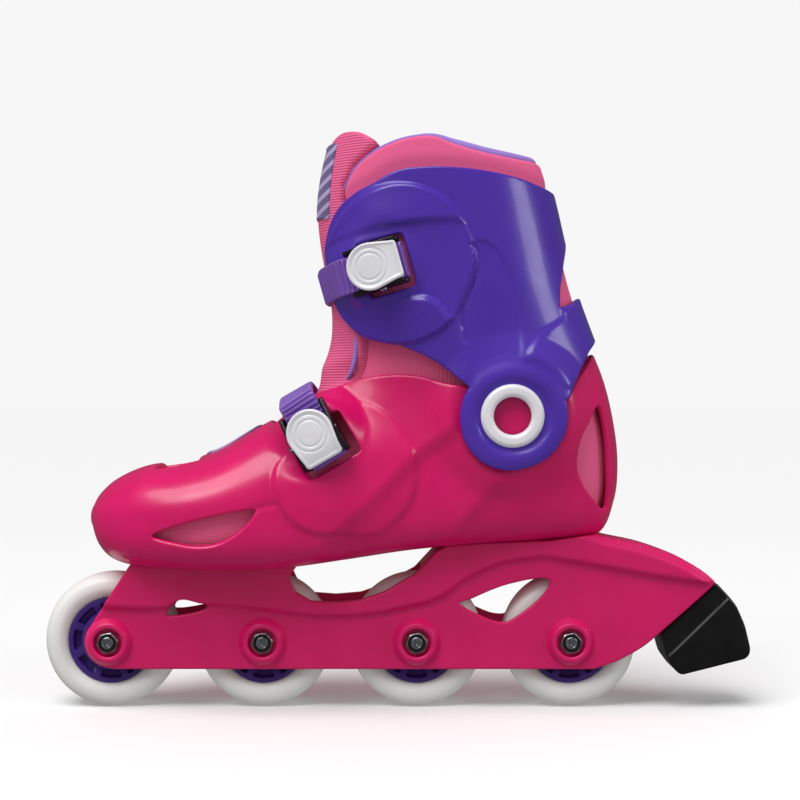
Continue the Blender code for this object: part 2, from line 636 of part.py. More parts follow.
def make_buckle(which):
    matrix = buckle_matrix(which)
    rail_in = STRAP_WIDTH[which] / MM / 2 + 0.7
    rail_out = rail_in + 1.9
    base = slab(f"{which}_buckle_base", rectangle(-12.5, 14.5, -rail_out, rail_out), GAP, 8 * MM,
                "buckle_black", matrix)
    channel = slab("channel", rectangle(-20, 20, -rail_in, rail_in), 1.7 * MM, 12 * MM, "buckle_black", matrix)
    taper = [(-13, 4.0), (-13, 9), (15.5, 9), (15.5, 5), (8, 8.1), (0.5, 8.1)]
    trim = side_slab("taper", taper, -20, 20, "buckle_black", matrix)
    hole = cross_rod("rail_hole", PIN_R + 0.1 * MM, *PIN_AT, -0.02, 0.02, "steel", matrix)
    mouth = side_slab("mouth", [(-20, -1), (-9.5, -1), (-9.5, 3), (-20, 3)], 0.2 - rail_in, rail_in - 0.2,
                      "buckle_black", matrix)
    cut(base, channel, mouth, trim, hole)
    # the lever: a round finger pad with a square end, two lugs on the pin and a toothed lip
    half_end = STRAP_WIDTH[which] / MM / 2 - 0.1
    pad = arc(0, 0, PAD_R / MM, 50, 310, 20)
    outline = [(x * MM, y * MM) for x, y in pad + [(14.2, -half_end), (14.2, half_end)]]
    lever = slab(f"{which}_buckle_lever", outline, 8.6 * MM, 10.8 * MM, "lever_white", matrix)
    lug_out = rail_in - 0.4
    lug_side = [(PIN_AT[0] / MM - 3, 9.6), (PIN_AT[0] / MM - 2.2, 5.2), (PIN_AT[0] / MM + 2.4, 4.9),
                (13.4, 7.2), (13.4, 9.6)]
    for side in (-1, 1):
        join(lever, side_slab("lug", lug_side, *sorted((side * (lug_out - 2.4), side * lug_out)),
                              "lever_white", matrix))
    lip = [(8.5, 9.6), (10.5, 4.7), (12.0, 4.7), (13.2, 9.6)]
    join(lever, side_slab("lip", lip, 0.6 - lug_out, lug_out - 0.6, "lever_white", matrix))
    cut(lever, cross_rod("lever_hole", PIN_R + 0.1 * MM, *PIN_AT, -0.02, 0.02, "steel", matrix))
    pin = cross_rod(f"{which}_buckle_pin", PIN_R, *PIN_AT, (-rail_out - 0.5) * MM, (rail_out + 0.2) * MM,
                    "steel", matrix)
    join(pin, cross_rod("pin_head", 1.7 * MM, *PIN_AT, (-rail_out - 1.3) * MM, (-rail_out - 0.3) * MM,
                        "steel", matrix))
    spring = cross_rod(f"{which}_buckle_spring", 1.9 * MM, *PIN_AT, -3 * MM, 3 * MM, "steel", matrix)
    cut(spring, cross_rod("spring_bore", PIN_R + 0.15 * MM, *PIN_AT, -4 * MM, 4 * MM, "steel", matrix))


def side_slab(name, outline, low, high, slot, matrix):
    """A side profile of the buckle (along, out), made solid from low to high across it."""
    bm = bmesh.new()
    face = bm.faces.new([bm.verts.new((x * MM, low * MM, z * MM)) for x, z in outline])
    grown = bmesh.ops.extrude_face_region(bm, geom=[face])
    moved = [g for g in grown["geom"] if isinstance(g, bmesh.types.BMVert)]
    bmesh.ops.translate(bm, verts=moved, vec=(0, (high - low) * MM, 0))
    bmesh.ops.transform(bm, matrix=matrix, verts=bm.verts)
    return new_object(name, bm, slot)


def strap_inner_offset(which, y):
    """How far the strap's inner face stays off the boot form, at a distance y from the middle."""
    if which == "upper":
        side = 3.2 if y > 0 else 4.6
        return (1.7 + side * smoothstep(12 * MM, 20 * MM, abs(y))) * MM
    return (2.6 if y > 0 else 2.6 + 1.6 * smoothstep(8 * MM, 20 * MM, -y)) * MM


def strap_path(which):
    """The strap's centre line in its own plane, as (along, y) from the far anchor to the buckle."""
    centre, along, _, out = buckle_axes(which)
    b = BUCKLES[which]
    slope = math.radians(b["slope"])
    direction = Vector((math.cos(slope), math.sin(slope)))
    mid_t = STRAP_THICK / 2
    back = {"upper": 30 * MM, "lower": 26 * MM}[which]
    found = []
    for i in range(31):
        angle = math.radians(100 - 195 * i / 30)
        low, high = 0.0, 0.12
        for _ in range(24):
            r = (low + high) / 2
            s = back - r * math.cos(angle)
            y = r * math.sin(angle)
            x = b["x"] + direction.x * s
            z = b["z"] + direction.y * s
            reach = side_reach(x, z, strap_inner_offset(which, y) + mid_t)
            if abs(y) < reach:
                low = r
            else:
                high = r
        found.append((back - low * math.cos(angle), low * math.sin(angle)))
    # the straight run through the buckle, over its floor
    seat = []
    for a in (-16.5, -8, 0, 8, 15.5):
        p = centre + along * (a * MM) + out * (2.0 * MM + mid_t)
        s = (p.x - b["x"]) * direction.x + (p.z - b["z"]) * direction.y
        seat.append((s, p.y))
    front = [p for p in found if p[1] > 0 or p[0] < seat[0][0] - 1 * MM]
    wrapped = [p for p in front if p[0] <= ANCHOR_AT[which]]
    return taut(wrapped + seat[:1]) + seat[1:]


def taut(points):
    """The tight path over points that run round the front: its convex side only."""
    kept = []
    for p in points:
        while len(kept) >= 2:
            a, b = kept[-2], kept[-1]
            if (b[0] - a[0]) * (p[1] - a[1]) - (b[1] - a[1]) * (p[0] - a[0]) > 0:
                break
            kept.pop()
        kept.append(p)
    return kept


def strap_point(which, s, y):
    """A point of the strap's plane: s along it from under the finger pad, and y."""
    b = BUCKLES[which]
    slope = math.radians(b["slope"])
    return Vector((b["x"] + math.cos(slope) * s, y, b["z"] + math.sin(slope) * s))


def strap_frames(which):
    """For each point of the strap's path: the point, the way out of the boot and the way across."""
    path = strap_path(which)
    slope = math.radians(BUCKLES[which]["slope"])
    level = Vector((-math.sin(slope), 0, math.cos(slope)))
    _, along, across, _ = buckle_axes(which)
    found = []
    for i, (s, y) in enumerate(path):
        before, after = path[max(i - 1, 0)], path[min(i + 1, len(path) - 1)]
        tangent = (strap_point(which, *after) - strap_point(which, *before)).normalized()
        side = level.lerp(across, smoothstep(-16 * MM, -30 * MM, y))
        side = (side - tangent * side.dot(tangent)).normalized()
        found.append((strap_point(which, s, y), side.cross(tangent), side))
    return found


def make_strap(which):
    half = STRAP_WIDTH[which] / 2
    rings = [
        [p + out * (STRAP_THICK / 2 * k) + side * (half * w) for k, w in ((-1, -1), (1, -1), (1, 1), (-1, 1))]
        for p, out, side in strap_frames(which)
    ]
    strap = bridged(rings, name=f"{which}_strap", slot="strap_purple", smooth=30)
    cut_anchor(strap, which)
    return strap


def anchor_matrix(which):
    """Where the strap's rivet is on the medial side: +Z of this frame points out of the boot."""
    p, out, side = strap_frames(which)[1]
    if out.y < 0:
        out = -out
    third = side.cross(out)
    return Matrix((
        (third.x, side.x, out.x, p.x),
        (third.y, side.y, out.y, p.y),
        (third.z, side.z, out.z, p.z),
        (0, 0, 0, 1),
    ))


def anchor_bar(name, radius, low, high, which, segments=16):
    bm = bmesh.new()
    bmesh.ops.create_cone(
        bm, cap_ends=True, segments=segments, radius1=radius, radius2=radius, depth=high - low,
        matrix=anchor_matrix(which) @ Matrix.Translation((0, 0, (low + high) / 2)),
    )
    return new_object(name, bm, "steel")


def cut_anchor(obj, which):
    cut(obj, anchor_bar(f"{obj.name}_anchor_hole", 2.2 * MM, -12 * MM, 12 * MM, which))


def make_anchor(which):
    top = STRAP_THICK / 2 + 0.2 * MM
    rivet = anchor_bar(f"{which}_strap_rivet", 1.9 * MM, -3.6 * MM, top + 0.5 * MM, which)
    join(rivet, anchor_bar("rivet_head", 4.6 * MM, top, top + 1.5 * MM, which, 20))


# --- chassis ------------------------------------------------------------------------------------
def make_frame():
    frame = prism("frame", outline_mm(FRAME_OUTLINE), -PLATE_OUT, PLATE_OUT)
    join(frame, prism("front_arm", outline_mm(FRONT_ARM), -ARM_OUT, ARM_OUT))
    join(frame, prism("rear_arm", outline_mm(REAR_ARM), -ARM_OUT, ARM_OUT))
    for x in AXLE_X:
        boss = turned("boss", [(2 * MM, -BOSS_OUT), (8.6 * MM, -BOSS_OUT), (10.2 * MM, -PLATE_OUT + 0.4 * MM),
                               (10.2 * MM, PLATE_OUT - 0.4 * MM), (8.6 * MM, BOSS_OUT), (2 * MM, BOSS_OUT)],
                      "shell_pink", 20)
        boss.location = (x, 0, AXLE_Z)
        join(frame, boss)
    # the channel that the wheels run in, with blocks left between them to carry the boot
    low = block("channel", (252 * MM, 2 * PLATE_IN, 60 * MM), (-12 * MM, 0, 22 * MM), "shell_pink")
    cut(frame, low)
    for x in AXLE_X:
        room = rod("wheel_room", 33.5 * MM, -PLATE_IN - 0.2 * MM, PLATE_IN + 0.2 * MM, "shell_pink", 32)
        room.location = (x, 0, AXLE_Z)
        cut(frame, room)
    cut(frame, block("high_room", (30 * MM, 2 * PLATE_IN - 0.4 * MM, 30 * MM), (-62 * MM, 0, 70 * MM), "shell_pink"))
    for i, outline in enumerate(OPENINGS):
        cut(frame, prism(f"opening_{i}", outline_mm(outline), -0.03, 0.03))
    seat = bridged(boot_rings(lambda u, a: boot_point(u, a, GAP), rows(0, 14)), name="boot_seat")
    cut(frame, seat)
    bore = [(0, -26), (6.9, -26), (6.9, -16), (3.15, -16), (3.15, 16), (5.9, 16), (5.9, 26), (0, 26)]
    for x in AXLE_X:
        axle_room = turned("axle_room", [(r * MM, y * MM) for r, y in bore], "steel", 20, 0.06)
        axle_room.location = (x, 0, AXLE_Z)
        cut(frame, axle_room)
    for x in FRAME_BOLT_X:
        cut(frame, upright("deck_hole", 2.6 * MM, x, sole_z(x) - 10.6 * MM, 0.09))
    cut(frame, tilted_rod("brake_screw_room", 2.8 * MM, -15 * MM, 5 * MM))
    return frame


FRAME_BOLT_X = (-98.5 * MM, 45.5 * MM)


def make_frame_bolts():
    for x, label in zip(FRAME_BOLT_X, ("front", "rear")):
        floor = sole_z(x) + SHELL_WALL
        bolt = upright(f"frame_bolt_{label}", 2.3 * MM, x, sole_z(x) - 10 * MM, floor + 1.2 * MM)
        join(bolt, upright("bolt_head", 5.4 * MM, x, floor + 0.5 * MM, floor + 2.9 * MM))


BRAKE_JOINT = Vector((135.5 * MM, 0, 46.2 * MM))
BRAKE_OUT = Vector((0.665, 0, -0.747))


def tilted_rod(name, radius, low, high, slot="steel", segments=16):
    """A round bar along the brake's screw, measured from the joint face towards the pad."""
    bm = bmesh.new()
    turn = Vector((0, 0, 1)).rotation_difference(BRAKE_OUT).to_matrix().to_4x4()
    bmesh.ops.create_cone(
        bm, cap_ends=True, segments=segments, radius1=radius, radius2=radius, depth=high - low,
        matrix=Matrix.Translation(BRAKE_JOINT) @ turn @ Matrix.Translation((0, 0, (low + high) / 2)),
    )
    return new_object(name, bm, slot)


def make_brake():
    pad = prism("brake_pad", outline_mm(BRAKE_OUTLINE), -15.5 * MM, 15.5 * MM, "brake_black")
    cut(pad, tilted_rod("pad_hole", 2.8 * MM, -5 * MM, 60 * MM))
    cut(pad, tilted_rod("pad_counterbore", 5.2 * MM, 14 * MM, 60 * MM))
    screw = tilted_rod("brake_screw", 2.4 * MM, -14 * MM, 14.8 * MM)
    join(screw, tilted_rod("screw_head", 4.7 * MM, 14.3 * MM, 17.5 * MM))


# --- wheels -------------------------------------------------------------------------------------
FACETS = 24
RING = math.cos(math.pi / FACETS)  # from a flat facet's distance to its corners'


def make_wheel(number, x):
    """One wheel with its axle set. The tread ends in a flat facet at the very bottom."""
    tread = [(20.2, -9.6), (24.2, -12.0), (28.2, -11.2), (30.4, -8.8), (31.5, -5.2), (31.5, 5.2), (30.4, 8.8),
             (28.2, 11.2), (24.2, 12.0), (20.2, 9.6)]
    hub = [(11.2, -12), (13.4, -12), (13.8, -8.5), (17.6, -9.6), (19.9, -9.6), (19.9, 9.6), (17.6, 9.6),
           (13.8, 8.5), (13.4, 12), (11.2, 12), (11.2, 4.8), (9.2, 4.6), (9.2, -4.6), (11.2, -4.8)]
    spacer = [(3.25, -13.1), (3.8, -13.1), (3.8, -4.6), (5.4, -4.6), (5.4, 4.6), (3.8, 4.6), (3.8, 13.1),
              (3.25, 13.1)]
    bearing = [(4.1, 5.0), (10.9, 5.0), (10.9, 12.0), (4.1, 12.0)]
    parts = [
        turned(f"tyre_{number}", [(r / RING * MM, y * MM) for r, y in tread], "tyre_white", FACETS,
               math.pi / FACETS),
        turned(f"hub_{number}", [(r * MM, y * MM) for r, y in hub], "hub_purple", 20),
        turned(f"axle_spacer_{number}", [(r * MM, y * MM) for r, y in spacer], "steel", 16),
    ]
    for side, label in ((-1, "left"), (1, "right")):
        points = [(r * MM, side * y * MM) for r, y in bearing]
        parts.append(turned(f"bearing_{number}_{label}", points, "steel", 16))
    bolt = rod(f"axle_bolt_{number}", 2.95 * MM, -21 * MM, 17 * MM, "steel", 16)
    head = rod("axle_head", 5.3 * MM, 16.3 * MM, 19.3 * MM, "steel", 16)
    nut = rod(f"axle_nut_{number}", 5.2 * MM, -20.4 * MM, -16.3 * MM, "steel", 6)
    bore = rod("nut_bore", 3.1 * MM, -0.03, 0, "steel", 16)
    for obj in (bolt, head, nut, bore):
        parts.append(obj)
    for obj in parts:
        obj.location = (x, 0, AXLE_Z)
    join(bolt, head)
    cut(nut, bore)


# --- badges -------------------------------------------------------------------------------------
def badge(name, u0, u1, offset, half_angle, slot, place):
    """A thin patch that lies on the front of the boot from section u0 to u1."""
    rings = []
    steps = 6
    for i in range(steps + 1):
        u = u0 + (u1 - u0) * i / steps
        angles = [math.radians(half_angle * (k / 3 - 1)) for k in range(7)]
        low = [place(u, a, offset) for a in angles]
        high = [place(u, a, offset + 1.2 * MM) for a in reversed(angles)]
        rings.append(low + high)
    return bridged(rings, name=name, slot=slot, smooth=30)


ANCHOR_AT = {"upper": 12 * MM, "lower": 20 * MM}


def set_origin(name, point):
    """Moves an object's origin to a point, and leaves its shape where it is."""
    obj = bpy.data.objects[name]
    obj.data.transform(Matrix.Translation(-point))
    obj.location = point


def place_origins():
    """Each moving piece gets its origin on its joint's axis, and the whole skate is centred."""
    for name in ("cuff", "upper_buckle_base", "upper_buckle_pin", "upper_buckle_spring", "upper_strap",
                 "upper_strap_rivet", "tongue_badge"):
        set_origin(name, Vector((PIVOT_X, 0, PIVOT_Z)))
    for which in ("upper", "lower"):
        set_origin(f"{which}_buckle_lever", buckle_matrix(which) @ Vector((PIN_AT[0], 0, PIN_AT[1])))
    for obj in bpy.data.objects:
        obj.location.y += CENTRE_Y


def build():
    make_frame()
    make_frame_bolts()
    make_shell()
    make_liner()
    make_footbed()
    make_tongue()
    make_cuff()
    make_pivots()
    for which in ("upper", "lower"):
        make_buckle(which)
        make_strap(which)
        make_anchor(which)
    make_brake()
    for number, x in enumerate(AXLE_X, start=1):
        make_wheel(number, x)
    badge("tongue_badge", 17.6, 20.8, 0.5 * MM, 13, "strap_purple", boot_point)
    badge("instep_badge", 4.6, 6.3, 0.9 * MM, 9, "strap_purple", boot_point)


def main():
    for obj in list(bpy.data.objects):
        bpy.data.objects.remove(obj, do_unlink=True)
    build()
    place_origins()


main()
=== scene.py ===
"""Makes a child's inline skate (left foot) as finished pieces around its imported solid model.

Metres, +Z up. The toe points to -X and the outer, buckle side of the foot is at -Y. Shapes are worked
out about the chassis's middle plane and moved by CENTRE_Y when they are put into a mesh.
"""

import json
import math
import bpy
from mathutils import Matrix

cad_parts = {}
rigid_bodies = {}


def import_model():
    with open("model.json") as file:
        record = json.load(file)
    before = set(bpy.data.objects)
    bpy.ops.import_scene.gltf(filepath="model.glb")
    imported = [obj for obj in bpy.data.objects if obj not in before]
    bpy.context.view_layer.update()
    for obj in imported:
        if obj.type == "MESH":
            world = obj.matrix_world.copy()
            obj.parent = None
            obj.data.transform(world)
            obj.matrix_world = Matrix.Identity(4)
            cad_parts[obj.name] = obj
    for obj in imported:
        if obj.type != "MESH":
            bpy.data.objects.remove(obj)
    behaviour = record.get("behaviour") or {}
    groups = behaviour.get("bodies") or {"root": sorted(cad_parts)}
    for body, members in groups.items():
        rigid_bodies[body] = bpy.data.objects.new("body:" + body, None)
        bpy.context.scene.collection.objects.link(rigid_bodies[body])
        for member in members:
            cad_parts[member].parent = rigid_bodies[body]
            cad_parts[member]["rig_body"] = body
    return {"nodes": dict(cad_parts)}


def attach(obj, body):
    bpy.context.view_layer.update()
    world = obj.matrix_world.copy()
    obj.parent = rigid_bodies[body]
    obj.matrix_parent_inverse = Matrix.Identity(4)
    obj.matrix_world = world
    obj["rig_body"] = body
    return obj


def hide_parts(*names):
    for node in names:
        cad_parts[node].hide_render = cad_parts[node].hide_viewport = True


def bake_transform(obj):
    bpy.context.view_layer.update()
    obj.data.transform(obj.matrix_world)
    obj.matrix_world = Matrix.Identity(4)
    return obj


bl_info = {
    "name": "Inline skate",
    "version": (1, 0, 0),
    "blender": (4, 5, 0),
    "location": "3D Viewport > Sidebar > Skate",
    "description": "Makes an inline skate: boot, cuff, straps, chassis, wheels and heel brake",
    "category": "Add Mesh",
}

import bmesh
import bpy
import numpy as np
from mathutils import Vector

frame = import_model()

MM = 0.001
TAU = math.tau

# --- sizes that the solid model has too, in millimetres unless they say otherwise ----------------
AXLE_X = (-134.5, -62.5, 9.5, 81.5)
AXLE_Z = 31.5
CENTRE_Y = 4.46
PIVOT_X, PIVOT_Z = 52.5, 137.5
DISC_R = 23.6
RIVET_HOLE_R = 8.5  # the hole in the cuff round each pivot
SHELL_FLAT_OUT, SHELL_FLAT_IN = 39.8, 36.4  # |y| of the flats round the pivot
CUFF_FLAT_OUT, CUFF_FLAT_IN, CUFF_DISC_IN = 43.6, 39.6, 40.0
SHELL_WALL = 2.8
CUFF_INNER, CUFF_OUTER = 0.6, 3.4
LINER_WALL = 5.0
GAP = 0.3
PLATE_IN, PLATE_OUT = 13.5, 16.5
ARM_OUT = 19.5
STRAP_THICK = 2.2
PAD_R = 10.8
LEVER_END = 14.2  # how far a lever reaches past its round pad's middle
PIN_AT = (2.6, 6.6)
NOSE = 0.9  # how far the closed toe bulges past the first section

# The boot form: one row for each section. Each section spans from a front point (top of the toe,
# instep, shin) to a back point (sole, heel, calf), is twice half_width across, and has a superellipse
# exponent at each end: 2 is round and 5 is nearly square.
#    front x, z      back x, z    half_width  front, back exponent
BOOT_SECTIONS = np.array((
    (-143.4, 95.2, -143.4, 84.2, 12.0, 2.0, 2.0),
    (-139.8, 101.2, -139.6, 75.0, 21.5, 2.1, 2.2),
    (-131.8, 107.9, -132.5, 69.3, 30.5, 2.2, 2.6),
    (-118.5, 113.6, -120.0, 66.6, 38.5, 2.3, 3.2),
    (-101.0, 116.2, -98.0, 65.6, 44.0, 2.3, 3.8),
    (-84.0, 121.2, -74.5, 65.4, 46.0, 2.3, 4.2),
    (-68.0, 130.5, -49.0, 66.8, 45.0, 2.2, 4.4),
    (-54.0, 138.4, -22.0, 70.4, 42.5, 2.2, 4.4),
    (-44.5, 146.5, 8.0, 74.6, 39.5, 2.2, 4.2),
    (-38.2, 155.0, 40.0, 77.0, 37.5, 2.2, 3.6),
    (-33.6, 164.0, 72.0, 78.0, 36.5, 2.2, 2.9),
    (-31.2, 172.6, 95.3, 81.2, 36.5, 2.2, 2.5),
    (-30.6, 180.6, 103.4, 97.0, 37.0, 2.2, 2.3),
    (-31.0, 188.6, 105.2, 115.0, 37.6, 2.2, 2.2),
    (-32.2, 197.0, 103.2, 134.0, 38.2, 2.2, 2.2),
    (-34.0, 206.0, 98.4, 154.0, 38.6, 2.2, 2.2),
    (-35.7, 215.5, 90.0, 175.0, 38.8, 2.2, 2.2),
    (-37.0, 225.5, 82.6, 196.0, 38.8, 2.2, 2.2),
    (-37.4, 235.5, 77.4, 217.0, 38.6, 2.2, 2.2),
    (-36.4, 246.0, 71.8, 241.0, 38.4, 2.2, 2.2),
    (-34.2, 257.5, 66.2, 258.5, 38.2, 2.2, 2.2),
    (-31.4, 268.0, 61.5, 272.0, 38.0, 2.2, 2.2),
    (-28.8, 278.0, 58.0, 284.0, 38.0, 2.2, 2.2),
))
LAST = len(BOOT_SECTIONS) - 1

# Side-view outlines (x, z).
SHELL_RIM = (
    (-160, 200), (-90, 160), (-57, 134), (-39.4, 147.7), (-26.9, 151.8), (-17, 154.7), (-7.7, 156),
    (2.7, 156.4), (12, 155.2), (19.8, 152.9), (31.1, 151), (52, 149.5), (68, 146), (76.8, 144.7),
    (94, 167.7), (104, 173), (130, 186),
)
CUFF_TOP = (
    (-9.3, 243), (0.6, 248.2), (11.4, 249.7), (25.1, 249.7), (39.9, 248.3), (55.3, 245.6), (66.3, 242.6),
    (96, 236),
)
CUFF_FRONT = (
    (28, 154.8), (20.1, 161.2), (11.3, 166.1), (2.6, 169.5), (-6.2, 171), (-14.1, 173.5),
    (-20.1, 179), (-25.1, 186.5), (-29.1, 196.5), (-31.3, 212.5), (-30.3, 220.4), (-27.7, 228.3),
    (-22.7, 235), (-15.2, 240.3),
)
CUFF_REAR = ((104, 172), (92.5, 172), (87.5, 166.3), (80.4, 153), (76.3, 145.1))
REAR_WINDOW = (
    (110, 220.5), (78.7, 220.2), (75.9, 207.8), (73.8, 195.2), (73.5, 186.5), (79, 188.3), (84.5, 192.7),
    (110, 197),
)
TOE_VENT = (
    (-110.6, 82.9), (-96.6, 88.5), (-80.1, 92.7), (-64.8, 95.3), (-65.1, 91.6), (-70.8, 85.3),
    (-80, 79.6), (-89.3, 78), (-98.9, 79.2),
)
HEEL_SLOT = (
    (94.3, 142.1), (90.1, 135), (85.5, 126.8), (83.8, 118.6), (84.1, 111.6), (88.1, 103.1), (97.3, 93.4),
    (99.3, 98.7), (99.5, 108.4), (98.7, 124), (96.9, 136.1),
)
COLLAR_TOP = (
    (-60, 215), (-28, 232.3), (-24.3, 241.7), (-19.5, 250.9), (-11.3, 257.7), (0.3, 262.9), (12, 265.1),
    (19.3, 264.4), (25.3, 261.9), (40.2, 258.1), (55.9, 256.2), (66.3, 256.2), (100, 256.2),
)
THROAT = (
    (-25, 236), (-22, 222), (-20, 205), (-19, 190), (-19, 177.1), (-20.2, 160.7), (-26.6, 150),
    (-38, 140), (-52, 128), (-66, 119),
)
TONGUE_TOP = ((-33.5, 262), (-31.6, 266.6), (-27.5, 269.2), (-23.5, 269.6), (-17, 268.2), (-9.4, 263.5))
FRAME_OUTLINE = (
    (-123.6, 80), (-123.6, 68.9), (-145, 36.1), (-145.7, 31.5), (-144.2, 25.5), (-139, 20.6), (-131.9, 18.8),
    (92.2, 18.8), (102.9, 22.4), (114.9, 28.9), (123.8, 36.2), (146.7, 56.5), (148.3, 60.5),
    (138.7, 67.7), (126.8, 73), (114.9, 76.9), (102.9, 79.4), (96, 81), (88, 84), (20, 84), (-20, 80),
)
OPENINGS = (
    ((-107.4, 43.8), (-105.1, 48.6), (-100.3, 51.6), (-93.8, 50.4), (-88.4, 48), (-95, 45.2)),
    ((-50.3, 61.7), (-47.3, 66), (-40, 80), (30, 80), (19, 74.5), (8.8, 63.5), (1.7, 59.6), (-5.6, 55.2),
     (-17.5, 51.2), (-29.4, 50.2), (-40.1, 51), (-47.3, 55.2)),
    ((29.7, 49.2), (35, 51.6), (49.3, 57.6), (64.8, 61.1), (72, 59.9), (66.1, 51), (54.1, 42.1),
     (49.3, 40.9), (42.2, 42.7)),
)
FRONT_ARM = ((-140, 86), (-140, 47), (-116.5, 45.8), (-90, 48), (-62, 45.8), (-37, 42.6), (-12, 43.6),
             (5, 47), (20, 51), (34, 60.5), (50, 67.5), (68, 70), (68, 86))
REAR_ARM = ((64, 86), (64, 71), (91, 66.5), (118, 61.5), (146, 57.5), (147.5, 60.5), (138, 67),
            (126.8, 72.2), (114.9, 76.2), (103, 78.8), (96.5, 80.2), (88, 84))
BRAKE_OUTLINE = (
    (124.4, 36), (147, 56.1), (148.9, 60.2), (155.5, 53.2), (159.4, 48.3), (163.4, 39.1), (166, 27.9),
    (165.3, 25), (163.4, 23.3), (133.8, 15.8), (131.5, 17.1), (129.8, 19.4), (126.5, 24), (124.2, 33),
)
BRAKE_STEP = ((156.4, 52.6), (131.8, 28.6))  # where the pad's upper, narrower part ends
# The raised seat round the lower buckle, the oval upper pod, and the strap's band, slit and panels.
LOWER_POD = (
    (-38, 146), (-25, 145.1), (-12.3, 143.3), (-1.9, 136.4), (5, 127.2), (8.5, 120.2), (9.1, 107.6),
    (5, 96), (-5.4, 85.6), (-14, 83), (-24, 84.5), (-33.1, 84), (-42.3, 86.6), (-50.4, 93.6), (-55.1, 105.2),
    (-54.5, 114.5), (-50.4, 122.5), (-60, 138),
)
POD_CENTRE, POD_R = (2.2, 206.2), (32.8, 36.0)
BAND_TOP = ((-50, 206), (-29, 215.5), (-14.1, 219.6), (3.5, 223.2), (19.3, 224.6), (32.8, 223.7))
BAND_LOW = ((34, 184), (25.2, 183), (21.1, 188), (15.2, 191.6), (9.4, 192.1), (0.8, 191.2), (-14.1, 186.7),
            (-24, 185.3), (-50, 180))
GROOVE = ((34.2, 214), (36.2, 209.8), (35.1, 200), (31.5, 190), (29.6, 183.5), (31, 172))
MID_PANEL = (
    (35.7, 216.3), (43.3, 214.1), (49.9, 203.2), (54.8, 183.5), (55.4, 161.7), (50, 154), (36.2, 151.8),
    (32.9, 161.7), (31.3, 172.6), (30.2, 183.5), (35.1, 199.9), (37.3, 209.8),
)
CALF_FLAP = (
    (56, 158), (63, 172.6), (73.9, 181.4), (77, 187), (112, 199), (112, 168), (92, 170), (80, 152),
    (70, 150),
)
# The two diagonal folds of the shell below the disc.
FOLD_A = ((36, 139.5), (28.2, 135.3), (8.8, 121.4), (-12, 101), (-31.6, 82), (-46, 66))
FOLD_B = ((52, 116), (36, 97), (23.4, 81.9), (14, 70))

BUCKLES = {
    "upper": {"x": -9.5, "z": 204.4, "slope": 15.6, "turn": 14, "face_y": -40.0, "width": 16.4, "back": 30,
              "anchor": 12, "body": "cuff"},
    "lower": {"x": -36.8, "z": 129.9, "slope": -60, "turn": 10, "face_y": -42.5, "width": 17.6, "back": 26,
              "anchor": 20, "body": "skate"},
}


# --- colour ---------------------------------------------------------------------------------------
def linear(code):
    """The linear RGB of an sRGB hex code: c/12.92 for a small channel c, else ((c+0.055)/1.055)^2.4."""
    channels = np.array([int(code[i:i + 2], 16) for i in (1, 3, 5)]) / 255
    return tuple(float(v) for v in np.where(
        channels <= 0.04045, channels / 12.92, ((channels + 0.055) / 1.055) ** 2.4))


def colour_property(name, code, words):
    return bpy.props.FloatVectorProperty(
        name=name, description=words, subtype="COLOR", size=3, min=0, max=1, default=linear(code))


def length_property(name, millimetres, words):
    return bpy.props.FloatProperty(
        name=name, description=words, unit="LENGTH", min=0.0, default=millimetres * MM, precision=5)


class SkateColours(bpy.types.PropertyGroup):
    """The colours of the skate's finishes."""

    shell: colour_property("Shell", "#E00A68", "Polypropylene of the boot shell, chassis and seats")
    cuff: colour_property("Cuff", "#5230AF", "Polypropylene of the hinged cuff")
    strap: colour_property("Straps", "#8058B8", "Soft polyurethane of the two straps")
    liner: colour_property("Liner", "#FF6A9E", "Knitted face of the liner and the tongue")
    lining: colour_property("Lining", "#A98AE2", "Brushed lining and the binding tape")
    lever: colour_property("Levers", "#F0EEF3", "ABS of the buckle levers and the pivot rings")
    base: colour_property("Buckle bases", "#17171A", "Painted steel of the buckle bases")
    tyre: colour_property("Tyres", "#F3F2EF", "Polyurethane of the wheels")
    hub: colour_property("Hubs", "#43247E", "Nylon of the wheel hubs")
    brake: colour_property("Brake", "#0C0C0D", "Rubber of the heel brake")
    floor: colour_property("Floor", "#FAFAFA", "Paper that the skate stands on")


class SkateSizes(bpy.types.PropertyGroup):
    """The sizes that may be changed without moving a joint."""

    edge: length_property("Edge radius", 1.1, "Rounding of the moulded edges of the shell and cuff")
    cell: length_property("Cell", 1.0, "Spacing of the points on the chassis plates")
    strap_rib: length_property("Strap rib pitch", 2.3, "Distance from one strap tooth to the next")
    pod: length_property("Seat height", 1.5, "How far the buckle seats stand proud of the shell and cuff")
    piping: length_property("Piping", 1.3, "Radius of the binding tape along the liner's edges")


# --- numbers --------------------------------------------------------------------------------------
def smoothstep(low, high, value):
    """0 below low, 1 above high, and 3t^2 - 2t^3 between them, for the share t of the way."""
    t = np.clip((value - low) / (high - low), 0.0, 1.0)
    return t * t * (3 - 2 * t)


def bell(value, width):
    """A bump of height 1 at 0: e to the power -(value/width)^2."""
    return np.exp(-(value / width) ** 2)


def curve_through(points, steps, closed=False):
    """Points on the Catmull-Rom curve through the given ones, steps to a span."""
    p = np.array(points, float)
    n = len(p)
    spans = np.arange(n if closed else n - 1)
    pick = [(spans + k) % n if closed else np.clip(spans + k, 0, n - 1) for k in (-1, 0, 1, 2)]
    a, b, c, d = (p[i][:, None, :] for i in pick)
    t = (np.arange(steps) / steps)[None, :, None]
    found = 0.5 * (2 * b + (c - a) * t + (2 * a - 5 * b + 4 * c - d) * t**2 + (3 * b - a - 3 * c + d) * t**3)
    found = found.reshape(-1, p.shape[1])
    return found if closed else np.vstack([found, p[-1]])


